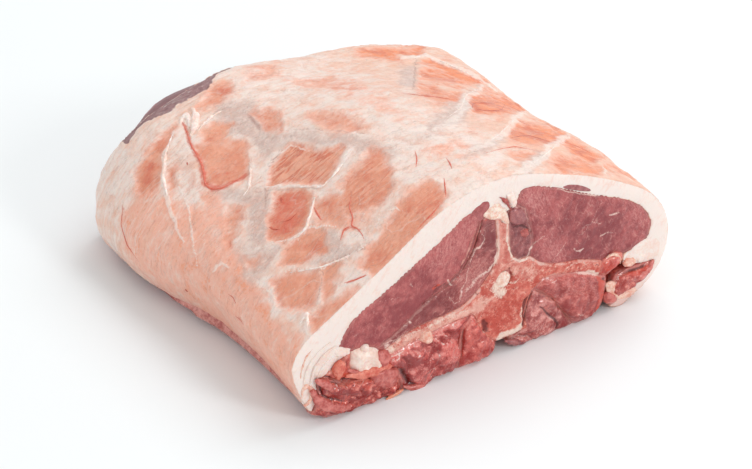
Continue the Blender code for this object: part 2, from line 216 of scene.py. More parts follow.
class Signal:
    """A shader socket that takes part in Python expressions."""

    def __init__(self, bench: "Bench", socket: bpy.types.NodeSocket) -> None:
        """Wrap one output socket of the bench's node tree."""
        self.bench = bench
        self.socket = socket

    def math(self, operation: str, *others: "Signal | float") -> "Signal":
        """This value and the others through one Math node."""
        sockets = dict(enumerate((self, *others)))
        return self.bench.node("ShaderNodeMath", {"operation": operation}, sockets)

    def __add__(self, other: "Signal | float") -> "Signal":
        """The sum."""
        return self.math("ADD", other)

    def __sub__(self, other: "Signal | float") -> "Signal":
        """The difference."""
        return self.math("SUBTRACT", other)

    def __rsub__(self, other: float) -> "Signal":
        """A number less this value."""
        return self.bench.node("ShaderNodeMath", {"operation": "SUBTRACT"}, {0: other, 1: self})

    def __mul__(self, other: "Signal | float") -> "Signal":
        """The product."""
        return self.math("MULTIPLY", other)

    __radd__ = __add__
    __rmul__ = __mul__

    def step(self, low: float, high: float) -> "Signal":
        """Smooth step between two values.

        Args:
            low: Where the step is 0.
            high: Where it is 1; the step falls where this is the smaller one.

        Returns:
            The step.
        """
        if high < low:
            return 1.0 - self.step(high, low)
        return self.bench.node(
            "ShaderNodeMapRange", {"interpolation_type": "SMOOTHSTEP"},
            {"Value": self, "From Min": low, "From Max": high},
        )


class Bench:
    """One material and the nodes that work out its finish."""

    def __init__(self, name: str) -> None:
        """Start a material with a Principled shader.

        Args:
            name: The material's name.
        """
        self.material = bpy.data.materials.new(name)
        self.material.use_nodes = True
        self.tree = self.material.node_tree
        self.shader = self.tree.nodes["Principled BSDF"]
        self.object_place = self.node("ShaderNodeTexCoord", {}, {}, "Object")

    def node(self, kind: str, settings: dict, sockets: dict, output: str | int = 0) -> Signal:
        """Add any node.

        Args:
            kind: The node's type.
            settings: Its own properties, set first.
            sockets: A value or a Signal for each input, by name or place.
            output: Which output is meant.

        Returns:
            That output as a Signal.
        """
        made = self.tree.nodes.new(kind)
        for name, value in settings.items():
            setattr(made, name, value)
        for key, value in sockets.items():
            if isinstance(value, Signal):
                self.tree.links.new(value.socket, made.inputs[key])
            else:
                made.inputs[key].default_value = value
        return Signal(self, made.outputs[output])

    def attribute(self, name: str) -> Signal:
        """A number that the mesh carries at each vertex."""
        return self.node("ShaderNodeAttribute", {"attribute_name": name}, {}, "Fac")

    def along(self, axis: str) -> Signal:
        """How far along one axis of the object a point lies, in metres."""
        return self.node("ShaderNodeSeparateXYZ", {}, {0: self.object_place}, axis)

    def mask(self, name: str, low: float, high: float, *frays: tuple[Signal, float]) -> Signal:
        """How fully a mark covers the surface, with a frayed edge.

        Args:
            name: The mark's attribute.
            low: Where the mask begins.
            high: Where it is full.
            frays: Each noise that frays the edge, and how much.

        Returns:
            A value from 0 to 1.
        """
        cover = self.attribute(name)
        for fray, depth in frays:
            cover = cover + (fray - 0.5) * depth
        return cover.step(low, high)

    def stretched(self, turn_deg: float, stretch: Triple) -> Signal:
        """Object coordinates turned about Y, then stretched, for grain that runs one way in the cut.

        Args:
            turn_deg: How far they are turned, in degrees.
            stretch: How much longer the grain is along each axis.

        Returns:
            The coordinates.
        """
        return self.node(
            "ShaderNodeMapping", {"vector_type": "TEXTURE"},
            {"Vector": self.object_place, "Rotation": (0.0, math.radians(turn_deg), 0.0), "Scale": stretch},
        )

    def wrapped(self, along_girth: float, along_spine: float) -> Signal:
        """Coordinates that follow the skin, in metres, divided by how far they stretch each way."""
        girth = self.attribute("girth") * (1.0 / along_girth)
        spine = self.along("Y") * (1.0 / along_spine)
        return self.node("ShaderNodeCombineXYZ", {}, {"X": girth, "Y": spine})

    def noise(self, size: float, detail: float = 3.0, place: Signal | None = None, rough: float = 0.55,
              bent: float = 0.0) -> Signal:
        """Smooth noise.

        Args:
            size: About how wide its bumps are, in millimetres.
            detail: How many finer layers it has.
            place: Its coordinates, where they aren't the object's.
            rough: How strong the finer layers are.
            bent: How far it wanders.

        Returns:
            A value around 0.5.
        """
        return self.node(
            "ShaderNodeTexNoise", {},
            {"Vector": place or self.object_place, "Scale": 1.0 / (size * MM), "Detail": detail,
             "Roughness": rough, "Distortion": bent},
        )

    def cells(self, size: float) -> Signal:
        """The distance to the middle of the nearest cell, for cells about size millimetres wide."""
        sockets = {"Vector": self.object_place, "Scale": 1.0 / (size * MM)}
        return self.node("ShaderNodeTexVoronoi", {"feature": "F1"}, sockets)

    def wisps(self, size: float, width: float, place: Signal) -> Signal:
        """Thin wandering lines: 1 along each line, 0 away from it."""
        return (self.noise(size, 2.0, place) - 0.5).math("ABSOLUTE").step(width, 0.0)

    def mix(self, factor: Signal, first: Signal | Colour, second: Signal | Colour) -> Signal:
        """A colour between two, by a factor from 0 to 1."""
        settings = {"data_type": "RGBA", "clamp_factor": True}
        return self.node("ShaderNodeMix", settings, {0: factor, 6: first, 7: second}, 2)

    def layered(self, colour: Signal | Colour, *layers: tuple[Signal, Signal | Colour]) -> Signal:
        """Lay colours over one another.

        Args:
            colour: The lowest colour.
            layers: How fully each next colour covers those below, and that colour.

        Returns:
            The colour that shows.
        """
        for cover, upper in layers:
            colour = self.mix(cover, colour, upper)
        return colour

    def finish(self, colour: Signal, roughness: Signal, height: Signal, relief: float,
               coat: Signal | None, constants: dict) -> bpy.types.Material:
        """Feed the shader.

        Args:
            colour: The base colour.
            roughness: The roughness.
            height: Relief too fine for the mesh, 0 to 1.
            relief: The depth in millimetres that a height of 1 stands for.
            coat: Weight of the wet coat, where it varies.
            constants: Values set on the shader's own sockets.

        Returns:
            The finished material.
        """
        bump = self.node(
            "ShaderNodeBump", {}, {"Strength": 1.0, "Distance": relief * MM, "Height": height}, "Normal",
        )
        fed = {"Base Color": colour, "Roughness": roughness, "Normal": bump}
        if coat is not None:
            fed["Coat Weight"] = coat
        for name, signal in fed.items():
            self.tree.links.new(signal.socket, self.shader.inputs[name])
        for name, value in constants.items():
            self.shader.inputs[name].default_value = value
        return self.material


@dataclass(frozen=True)
class FatFinish:
    """Pale fat under a torn membrane, with bare pink patches, ridges, creases and traces of blood."""

    name: str = "fat_skin"
    cream: Colour = srgb(236, 218, 208)
    blush: Colour = srgb(234, 190, 169)
    rosy: Colour = srgb(230, 180, 154)
    membrane: Colour = srgb(199, 173, 163)
    bare: Colour = srgb(221, 142, 112)
    bare_deep: Colour = srgb(204, 100, 72)
    bare_light: Colour = srgb(234, 171, 144)
    bare_orange: Colour = srgb(236, 136, 86)
    flank: Colour = srgb(240, 172, 147)
    ridge: Colour = srgb(244, 231, 222)
    # Colour of the painted shade in the creases and in the valleys of the wrinkles
    crease: Colour = srgb(176, 134, 124)
    blood: Colour = srgb(208, 88, 66)
    film: Colour = srgb(126, 86, 90)
    film_light: Colour = srgb(148, 108, 110)
    cut: Colour = srgb(238, 223, 215)
    cut_pink: Colour = srgb(235, 194, 178)

    def material(self) -> bpy.types.Material:
        """Work out the finish.

        Returns:
            The material.
        """
        bench = Bench(self.name)
        streaks = bench.noise(4.0, 5.0, bench.wrapped(1.6, 0.9), 0.6, 1.5)
        mottle = bench.noise(2.4, 4.0, bench.wrapped(1.3, 1.0), 0.62, 1.0)
        stripes = bench.noise(2.6, 3.0, bench.wrapped(5.0, 0.7), 0.6, 0.8)
        strands = bench.noise(2.6, 4.0, bench.wrapped(2.6, 0.8), 0.66, 2.2).step(0.53, 0.7)
        broad = bench.noise(30.0, 3.0)
        blotch = bench.noise(11.0, 4.0, rough=0.6, bent=0.8)
        cloud = bench.noise(8.0, 3.0, rough=0.5, bent=0.5)
        middling = bench.noise(6.0, 5.0, rough=0.62, bent=0.5)
        fine = bench.noise(1.1, 3.0)
        wisps = bench.wisps(14.0, 0.014, bench.wrapped(2.4, 1.0)) * broad.step(0.44, 0.62)
        folds = bench.noise(2.8, 3.0, bench.wrapped(1.7, 0.9), 0.55, 1.6)
        # Noise of the wrinkles: it raises their bump, and below it paints their light and shade
        wrinkle_shading = folds * 0.7 + fine * 0.3
        side = bench.along("X")
        back = bench.along("Y").step(-0.015, 0.035)

        striped = bench.attribute("striped") * (stripes - 0.5)
        deeper = cloud * 0.6 + middling * 0.45 + striped * 0.9 + side.step(0.02, 0.06) * 0.05
        paler = blotch * 0.55 + middling * 0.25 + mottle * 0.2 - striped * 2.9
        warm = bench.layered(
            self.bare,
            (side.step(0.012, 0.055), self.bare_orange),
            (deeper.step(0.48, 0.68) * 0.8, self.bare_deep),
            (paler.step(0.46, 0.6) * (0.7 - side.step(0.02, 0.06) * 0.5), self.bare_light),
            (strands * 0.5, self.blush),
        )
        bare = bench.attribute("bare")
        ragged = (middling - 0.5) * 0.9 + (streaks - 0.5) * 0.6 + (fine - 0.5) * 0.25
        bare_mask = (bare + ragged * 1.1).step(0.06, 0.86)

        blush = broad * 0.35 + blotch * 0.5 + middling * 0.3 + side.step(0.0, 0.05) * 0.1
        flank = bench.mask("flank", 0.2, 0.9, (middling, 0.9), (streaks, 0.4))
        membrane = bench.mask("membrane", 0.1, 1.05, (middling, 1.4), (streaks, 0.8))
        veil = bench.mix((mottle * 0.5 + streaks * 0.5).step(0.46, 0.62) * 0.5, self.membrane, self.cream)
        film = bench.mask("film", 0.35, 0.6, (middling, 0.5), (fine, 0.4))
        blood = bench.mask("blood", 0.28, 1.0, (streaks, 0.7), (fine, 0.5))
        skin = bench.layered(
            self.cream,
            (blush.step(0.5, 0.74), self.blush),
            (side.step(0.01, 0.05) * (0.2 + blotch * 0.6), self.rosy),
            (flank * 0.85, self.flank),
            (flank * (mottle * 0.4 + blotch * 0.7).step(0.54, 0.76) * 0.6, self.cream),
            (flank * (blotch * 0.7 + fine * 0.3).step(0.48, 0.36) * 0.5, self.bare_orange),
            (stripes.step(0.52, 0.64) * back * 0.35, self.ridge),
            (stripes.step(0.47, 0.36) * back * 0.4, self.rosy),
            (membrane * 0.8, veil),
            ((bare + ragged * 0.7).step(-0.12, 0.5) * 0.55, self.flank),
            (bare_mask * 0.92, warm),
            # Painted shade in the creases, which are also sunk a little
            (bench.mask("crease", 0.25, 0.8, (fine, 0.5)) * 0.75, self.crease),
            (blood * 0.8, self.blood),
            (film * 0.95, bench.mix(streaks.step(0.4, 0.6), self.film, self.film_light)),
            (bench.mask("ridge", 0.22, 0.72, (fine, 0.5), (middling, 0.5), (streaks, 0.9)) * 0.6, self.ridge),
            (wisps * 0.2, self.ridge),
            # Painted highlight on the crests of the wrinkles and painted shade in their valleys
            (wrinkle_shading.step(0.55, 0.68) * (0.3 - bare_mask * 0.2), self.ridge),
            (wrinkle_shading.step(0.45, 0.36) * 0.22, self.crease),
        )
        cut = bench.mask("cut", 0.3, 0.7)
        fibres = bench.noise(1.8, 4.0, bench.stretched(35.0, (0.8, 1.0, 3.0)), 0.6, 1.0)
        cut_face = bench.layered(
            self.cut,
            ((middling * 0.6 + fibres * 0.55).step(0.56, 0.76) * 0.6, self.cut_pink),
            (blood * 0.8, self.blood),
        )
        foot = bench.along("Z").step(0.012, 0.0)
        colour = bench.layered(skin, (cut, cut_face), (foot * 0.35, self.bare_deep))

        roughness = 0.44 + (middling - 0.5) * 0.3 - membrane * 0.06 + bare_mask * 0.06
        skin_relief = streaks * 0.4 + mottle * 0.2 + strands * 0.25 + wisps * 0.3 + folds * 0.9
        skin_relief = skin_relief + striped * 1.2 + stripes * back * 0.3
        relief = skin_relief * (1.0 - cut) + fine * 0.25 + bench.noise(0.5, 2.0) * 0.12 + middling * cut
        coat = (broad + middling - 0.9).step(0.0, 0.25) * 0.18 + membrane * 0.1
        return bench.finish(
            colour, roughness, relief, 0.45, coat,
            {"Subsurface Weight": 0.12, "Subsurface Scale": 0.003, "Subsurface Radius": (1.0, 0.45, 0.3),
             "Specular IOR Level": 0.4, "Coat Roughness": 0.22},
        )


@dataclass(frozen=True)
class LeanFinish:
    """Raw red meat, cut across its grain."""

    name: str
    flesh: Colour
    deep: Colour
    light: Colour
    grain_deg: float = 20.0
    grain_mm: float = 0.9
    grain_stretch: float = 1.5
    marbling: float = 0.5
    rim_mm: float = 0.6
    rim_strength: float = 0.3
    wet: float = 0.35
    relief: float = 0.3
    seam: Colour = srgb(222, 170, 158)
    fleck: Colour = srgb(238, 206, 194)
    glint: Colour = srgb(250, 228, 220)
    # Colour of the painted shade in the hollows and in the gaps of the cut
    crevice_shade: Colour = srgb(84, 20, 22)
    fresh: Colour = srgb(204, 74, 54)
    dry: Colour = srgb(112, 80, 84)
    dry_light: Colour = srgb(146, 106, 108)

    def material(self) -> bpy.types.Material:
        """Work out the finish.

        Returns:
            The material.
        """
        bench = Bench(self.name)
        along = bench.stretched(self.grain_deg, (1.0, 2.0, self.grain_stretch))
        longer = bench.stretched(self.grain_deg, (1.0, 2.0, self.grain_stretch * 1.8))
        grain = bench.noise(self.grain_mm, 4.0, along, 0.65, 0.5)
        lines = bench.noise(self.grain_mm * 0.6, 2.0, longer, 0.6, 0.8)
        broad = bench.noise(12.0, 3.0)
        middling = bench.noise(3.6, 5.0, rough=0.6)
        fine = bench.noise(0.6, 3.0)
        septa = bench.wisps(5.0, 0.02, bench.stretched(self.grain_deg + 8.0, (1.0, 2.0, 2.2)))
        flecks = bench.noise(1.5, 2.0, bench.stretched(self.grain_deg + 50.0, (1.0, 1.0, 2.4)), 0.7)

        # How far the cut faces up: below, it paints light on those faces and places the painted glints
        upward = bench.mask("upward", 0.3, 0.75)
        sparkle = bench.noise(1.9, 2.0, rough=0.6, bent=1.2) + middling * 0.35
        glints = sparkle.step(0.79, 0.88) * upward * self.wet
        glow, shade = bench.attribute("glow"), bench.attribute("shade")
        # The tone is lighter where wet meat faces up: painted light
        tone = broad * 0.45 + middling * 0.75 + glow * 0.16 - shade * 0.14 + (upward - 0.5) * 0.12 * self.wet
        grained = grain * 0.45 + lines * 0.25 + fine * 0.3 + glow * 0.1 - shade * 0.06
        fleck_mask = (flecks * 0.8 + fine * 0.2 + broad * 0.12).step(0.80 - 0.05 * self.marbling, 0.86)
        edge = bench.attribute("rim") * (1.0 / self.rim_mm) + (middling - 0.5) * 5.0 + (fine - 0.5) * 1.2
        dark = bench.mask("dark", 0.25, 0.9, (fine, 0.5), (middling, 0.5))
        colour = bench.layered(
            self.deep,
            (tone.step(0.44, 0.74), self.flesh),
            (grained.step(0.5, 0.7) * 0.7, self.light),
            # Light patches on wet meat, more where it faces up: partly its own paler tone, partly painted
            # sheen
            ((middling + upward * 0.12).step(0.54, 0.74) * 0.6 * self.wet, self.light),
            ((lines * 0.4 + fine * 0.5 + grain * 0.15).step(0.53, 0.4) * 0.4, self.deep),
            # Painted shade in the hollows between the lumps
            (bench.mask("hollow", 0.35, 1.1, (fine, 0.4)) * 0.65, self.crevice_shade),
            (septa * middling.step(0.46, 0.6) * 0.4 * self.marbling, self.seam),
            (fleck_mask * 0.7, self.fleck),
            (bench.mask("bright", 0.3, 0.9, (middling, 0.7), (fine, 0.4)) * 0.8, self.fresh),
            (edge.step(1.1, 0.1) * self.rim_strength, self.seam),
            (bench.mask("pale", 0.3, 0.85, (fine, 0.8), (middling, 0.8)) * 0.8, self.fleck),
            # Painted shade in the gaps, folds and pits that the dark marks follow, and one spot of dark blood
            (dark * 0.85, self.crevice_shade),
            (bench.attribute("outside") * 0.9, bench.mix(middling, self.dry, self.dry_light)),
            # Painted glints: small highlights on wet faces that turn up
            (glints * 0.8, self.glint),
        )

        roughness = (0.47 - 0.12 * self.wet) + (middling - 0.5) * 0.35 - dark * 0.1 - glints * 0.2
        coat = (middling * 0.6 + broad * 0.5).step(0.4, 0.62) * self.wet
        height = grain * 0.4 + lines * 0.25 + fine * 0.5 + middling * 0.6 + glints * 0.3
        return bench.finish(
            colour, roughness, height, self.relief, coat,
            {"Subsurface Weight": 0.08, "Subsurface Scale": 0.002, "Subsurface Radius": (1.0, 0.3, 0.25),
             "Specular IOR Level": 0.45, "Coat Roughness": 0.07},
        )


@dataclass(frozen=True)
class BoneFinish:
    """Sawn backbone: porous red marrow inside a thin pale shell."""

    name: str = "sawn_bone"
    marrow: Colour = srgb(222, 128, 110)
    marrow_deep: Colour = srgb(188, 74, 60)
    marrow_pale: Colour = srgb(236, 184, 168)
    shell: Colour = srgb(228, 190, 178)
    pore: Colour = srgb(104, 26, 24)
    # Pale colour of the gristle, also used for the painted glints
    gristle: Colour = srgb(238, 216, 200)
    fresh: Colour = srgb(210, 82, 62)

    def material(self) -> bpy.types.Material:
        """Work out the finish.

        Returns:
            The material.
        """
        bench = Bench(self.name)
        broad = bench.noise(8.0, 3.0)
        middling = bench.noise(2.4, 5.0, rough=0.65)
        fine = bench.noise(0.7, 3.0)
        pores = bench.cells(1.3)
        small_pores = bench.cells(0.75)
        wet = middling * 0.6 + broad * 0.5
        glints = bench.cells(1.2).step(0.18, 0.06) * wet.step(0.5, 0.66)
        low = bench.along("Z")

        edge = bench.attribute("rim") + (middling - 0.5) * 2.4 + (fine - 0.5) * 0.9
        shell = edge.step(0.75, 0.15) * low.step(0.018, 0.034) * broad.step(0.42, 0.55)
        colour = bench.layered(
            self.marrow_deep,
            ((broad * 0.6 + middling * 0.6).step(0.46, 0.76), self.marrow),
            (low.step(0.03, 0.05) * (middling * 1.2 - 0.25), self.marrow_pale),
            ((fine * 0.5 + middling * 0.6).step(0.56, 0.7) * 0.7, self.marrow_pale),
            (pores.step(0.3, 0.1) * middling.step(0.48, 0.6) * 0.85, self.pore),
            (small_pores.step(0.28, 0.08) * 0.5, self.marrow_deep),
            (bench.mask("glow", 0.2, 1.0, (middling, 1.2), (fine, 0.8)) * 0.75, self.marrow_pale),
            (bench.mask("bright", 0.35, 1.1, (middling, 2.0), (fine, 1.2)) * 0.6, self.fresh),
            (shell * 0.8, self.shell),
            (bench.mask("pale", 0.3, 0.85, (fine, 0.9), (middling, 0.9)) * 0.9, self.gristle),
            # Painted shade in the gaps and pits of the dark marks, such as the canal's shadow
            (bench.mask("dark", 0.3, 0.85, (fine, 0.6), (middling, 0.6)) * 0.9, self.pore),
            # Painted glints: small highlights where the marrow is wet
            (glints * 0.6, self.gristle),
        )

        roughness = 0.48 + (middling - 0.5) * 0.3
        coat = (broad * 0.5 + middling * 0.6).step(0.5, 0.7) * 0.4
        height = middling * 0.6 + fine * 0.5 + pores.step(0.1, 0.35) * 0.4
        return bench.finish(
            colour, roughness, height, 0.5, coat,
            {"Subsurface Weight": 0.06, "Subsurface Scale": 0.002, "Specular IOR Level": 0.45,
             "Coat Roughness": 0.12},
        )


@dataclass(frozen=True)
class PlainFinish:
    """One soft tissue of nearly one colour, such as the cord or a vessel."""

    name: str
    light: Colour
    dark: Colour
    size_mm: float = 1.5
    roughness: float = 0.35
    relief: float = 0.15
    coat: float = 0.3

    def material(self) -> bpy.types.Material:
        """Work out the finish.

        Returns:
            The material.
        """
        bench = Bench(self.name)
        middling = bench.noise(self.size_mm, 4.0)
        fine = bench.noise(self.size_mm * 0.3, 2.0)
        colour = bench.mix((middling * 0.7 + fine * 0.4).step(0.38, 0.72), self.dark, self.light)
        roughness = self.roughness + (middling - 0.5) * 0.2
        height = middling * 0.6 + fine * 0.4
        return bench.finish(
            colour, roughness, height, self.relief, middling.step(0.4, 0.6) * self.coat,
            {"Subsurface Weight": 0.1, "Subsurface Scale": 0.002, "Coat Roughness": 0.15},
        )


@dataclass(frozen=True)
class FloorFinish:
    """Matt pale floor."""

    name: str = "pale_floor"
    light: Colour = srgb(240, 244, 245)
    dark: Colour = srgb(236, 240, 241)

    def material(self) -> bpy.types.Material:
        """Work out the finish.

        Returns:
            The material.
        """
        bench = Bench(self.name)
        broad = bench.noise(240.0, 2.0)
        colour = bench.mix(broad, self.dark, self.light)
        grain = bench.noise(3.0)
        return bench.finish(colour, 0.8 + broad * 0.1, grain, 0.02, None, {"Specular IOR Level": 0.2})


class Mark(Enum):
    """What a mark on the meat shows; the value is the mesh attribute that carries it."""

    BARE = "bare"
    MEMBRANE = "membrane"
    FLANK = "flank"
    RIDGE = "ridge"
    # Creases: painted shade, and sunk a little
    CREASE = "crease"
    BLOOD = "blood"
    FILM = "film"
    PALE = "pale"
    DARK = "dark"
    BRIGHT = "bright"
    RAISED = "raised"
    SUNK = "sunk"
    STRIPED = "striped"
    GLOW = "glow"
    SHADE = "shade"


@dataclass(frozen=True)
class Patch:
    """An area of the photograph with a mark: its corners, its soft edge in pixels and its strength."""

    corners: str
    reach: float = 3.0
    strength: float = 1.0

    def cover(self, pixels: np.ndarray) -> np.ndarray:
        """How fully each pixel is covered, 0 to 1."""
        depth = depth_in_outline(pixels, rows(self.corners))
        return smoothstep(depth, -self.reach, self.reach) * self.strength


@dataclass(frozen=True)
class Stroke:
    """A line on the photograph with a mark: its points, its widest half width and its strength."""

    corners: str
    reach: float = 2.0
    strength: float = 1.0

    def cover(self, pixels: np.ndarray) -> np.ndarray:
        """How fully each pixel is covered.

        Args:
            pixels: One row for each pixel.

        Returns:
            A value from 0 to 1, over a width that shrinks towards the stroke's ends.
        """
        far, along = distance_to_line(pixels, rows(self.corners))
        width = self.reach * (0.55 + 0.45 * np.sin(np.clip(along, 0.03, 0.97) * math.pi))
        return (1.0 - smoothstep(far, 0.25 * width, width)) * self.strength


Marks = dict[Mark, dict[str, Patch | Stroke]]


def wavered(pixels: np.ndarray, points: np.ndarray, sizes: dict[float, float]) -> np.ndarray:
    """Shift pixels by noise, so that what is drawn there gets a natural edge.

    Args:
        pixels: One row for each point.
        points: The points themselves, in millimetres.
        sizes: How many pixels the noise of each width in millimetres shifts by.

    Returns:
        The shifted pixels.
    """
    shifted = pixels.copy()
    for size, reach in sizes.items():
        for axis in (0, 1):
            shifted[:, axis] += reach * noise_at(points, size, 40.0 + 13.0 * axis)
    return shifted


def marked(pixels: np.ndarray, marks: Marks, shape: type = object) -> dict[Mark, np.ndarray]:
    """Lay the marks over the pixels that the vertices fall on.

    Args:
        pixels: One row for each vertex.
        marks: The patches and strokes of each kind.
        shape: Patch or Stroke, where only those are laid.

    Returns:
        For each kind of mark, how fully each vertex is covered.
    """
    covered = {kind: np.zeros(len(pixels)) for kind in marks}
    for kind, named in marks.items():
        for mark in (mark for mark in named.values() if isinstance(mark, shape)):
            corners = rows(mark.corners)
            room = mark.reach + 1.0
            near = ((pixels > corners.min(0) - room) & (pixels < corners.max(0) + room)).all(1)
            if near.any():
                covered[kind][near] = np.maximum(covered[kind][near], mark.cover(pixels[near]))
    return covered


class Sculpture:
    """A closed mesh over a CAD node, held as arrays while it is shaped."""

    def __init__(self, name: str, mesh: bpy.types.Mesh) -> None:
        """Read the mesh's points and edges.

        Args:
            name: The piece's name.
            mesh: The mesh, in metres.
        """
        self.name = name
        self.mesh = mesh
        count = len(mesh.vertices)
        flat = np.empty(count * 3, np.float32)
        mesh.vertices.foreach_get("co", flat)
        self.points = flat.reshape(-1, 3).astype(float) / MM
        ends = np.empty(len(mesh.edges) * 2, np.int32)
        mesh.edges.foreach_get("vertices", ends)
        self.edges = ends.reshape(-1, 2)
        self.layers: dict[str, np.ndarray] = {}

    @classmethod
    def over_node(cls, name: str, node: str, voxel: float, ends: "Ends | None" = None) -> "Sculpture":
        """Copy a CAD node, merge its loose triangles and lay an even mesh over it.

        Args:
            name: The new piece's name.
            node: The CAD node.
            voxel: Width of the new mesh's squares in millimetres.
            ends: How the hidden middle is drawn together while the new mesh is made, if it is.

        Returns:
            The new sculpture.
        """
        shape = bmesh.new()
        shape.from_mesh(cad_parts[node].data)
        bmesh.ops.remove_doubles(shape, verts=shape.verts, dist=1e-6)
        if ends:
            bmesh.ops.subdivide_edges(shape, edges=ends.long_edges(shape), cuts=3)
            ends.squeeze(shape)
        mesh = bpy.data.meshes.new(name)
        shape.to_mesh(mesh)
        shape.free()
        made = cls(name, even_mesh(name, mesh, voxel))
        if ends:
            made.points[:, 1] = ends.stretched(made.points[:, 1])
        return made

    def normals(self) -> np.ndarray:
        """The unit normals.

        Returns:
            One row for each point.
        """
        self.mesh.vertices.foreach_set("co", (self.points * MM).astype(np.float32).ravel())
        self.mesh.update()
        flat = np.empty(len(self.points) * 3, np.float32)
        self.mesh.vertex_normals.foreach_get("vector", flat)
        return flat.reshape(-1, 3).astype(float)

    def push(self, heights: np.ndarray | float, axes: Triple = (1.0, 1.0, 1.0)) -> None:
        """Move each point out along its normal, in millimetres, by a share of it along each axis."""
        self.points += self.normals() * np.reshape(heights, (-1, 1)) * axes

    def relax(self, rounds: int, share: float = 0.5) -> None:
        """Draw each point towards the middle of its neighbours.

        Args:
            rounds: How many times.
            share: How much of the way.
        """
        count = len(self.points)
        first, second = self.edges.T
        links = np.bincount(first, minlength=count) + np.bincount(second, minlength=count)
        for _ in range(rounds):
            summed = np.stack([
                np.bincount(first, self.points[second, axis], count)
                + np.bincount(second, self.points[first, axis], count)
                for axis in range(3)
            ], 1)
            self.points += (summed / np.maximum(links, 1)[:, None] - self.points) * share

    def squared(self, depth: float) -> None:
        """Bring the worn corner of the sawn end out to the cut's plane.

        Args:
            depth: How deep the worn corner reaches, in millimetres.
        """
        behind = self.points[:, 1] - SAWN_Y
        worn = (behind > 0.0) * (1.0 - smoothstep(behind, 0.35 * depth, depth))
        self.points[:, 1] -= behind * worn

    def done(self, material: bpy.types.Material, slot: str, *nodes: str) -> bpy.types.Object:
        """Write the shape and its attributes back, and put the piece in the scene.

        Args:
            material: Its finish.
            slot: The record's slot of that finish.
            nodes: The CAD nodes that it stands for.

        Returns:
            The finished object.
        """
        self.points[:, 2] = np.maximum(self.points[:, 2], 0.0)
        along = self.points[:, 1]
        along -= np.sign(along) * np.maximum(np.abs(along) - END_REACH, 0.0) * END_PRESS
        self.mesh.vertices.foreach_set("co", (self.points * MM).astype(np.float32).ravel())
        self.mesh.update()
        for name, values in self.layers.items():
            layer = self.mesh.attributes.new(name, "FLOAT", "POINT")
            layer.data.foreach_set("value", values.astype(np.float32))
        self.mesh.shade_smooth()
        return add_piece(self.name, self.mesh, material, slot, *nodes)


@dataclass(frozen=True)
class Ends:
    """Keeps both cut ends of a long piece and draws its hidden middle together, and back."""

    near_keep: float = 5.0
    far_keep: float = 4.0
    middle: float = 7.0
    outside: float = 6.0
    longest_edge: float = 4.0

    def knots(self) -> tuple[list[float], list[float]]:
        """Matching places along the spine.

        Returns:
            The true places, and the same places drawn together.
        """
        near, far = SAWN_Y + self.near_keep, FAR_Y - self.far_keep
        true = [SAWN_Y - self.outside, near, far, FAR_Y + self.outside]
        drawn = [true[0], near, near + self.middle, near + self.middle + self.far_keep + self.outside]
        return true, drawn

    def long_edges(self, shape: bmesh.types.BMesh) -> list[bmesh.types.BMEdge]:
        """Edges that run far enough along the spine to cross a knot."""
        longest = self.longest_edge * MM
        return [e for e in shape.edges if abs(e.verts[0].co.y - e.verts[1].co.y) > longest]

    def squeeze(self, shape: bmesh.types.BMesh) -> None:
        """Draw the middle together.

        Args:
            shape: The shape, in metres.
        """
        true, drawn = self.knots()
        for vertex in shape.verts:
            vertex.co.y = float(np.interp(vertex.co.y / MM, true, drawn)) * MM

    def stretched(self, places: np.ndarray) -> np.ndarray:
        """The true places along the spine again."""
        true, drawn = self.knots()
        return np.interp(places, drawn, true)


def even_mesh(name: str, mesh: bpy.types.Mesh, voxel: float) -> bpy.types.Mesh:
    """Lay an even mesh of squares over a closed mesh.

    Args:
        name: The new mesh's name.
        mesh: The closed mesh.
        voxel: Width of the squares in millimetres.

    Returns:
        The new mesh.
    """
    holder = put(name, mesh)
    remesh = holder.modifiers.new("even", "REMESH")
    remesh.mode = "VOXEL"
    remesh.voxel_size = voxel * MM
    return baked(holder)


def baked(holder: bpy.types.Object) -> bpy.types.Mesh:
    """Apply an object's modifiers, and remove the object.

    Args:
        holder: The object.

    Returns:
        Its finished mesh.
    """
    graph = bpy.context.evaluated_depsgraph_get()
    made = bpy.data.meshes.new_from_object(holder.evaluated_get(graph))
    made.name = holder.name
    bpy.data.objects.remove(holder, do_unlink=True)
    return made


def add_piece(name: str, mesh: bpy.types.Mesh, material: bpy.types.Material, slot: str,
              *nodes: str) -> bpy.types.Object:
    """Put a finished mesh in the scene as a piece that rides on the part.

    Args:
        name: The piece's name.
        mesh: Its mesh.
        material: Its finish.
        slot: The record's slot of that finish; not used.
        nodes: The CAD nodes that it stands for.

    Returns:
        The piece.
    """
    mesh.materials.clear()
    mesh.materials.append(material)
    piece = put(name, mesh)
    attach(piece, "root")
    if nodes:
        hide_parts(*nodes)
    LOG.info("%s: %d vertices, %d faces", name, len(mesh.vertices), len(mesh.polygons))
    return piece


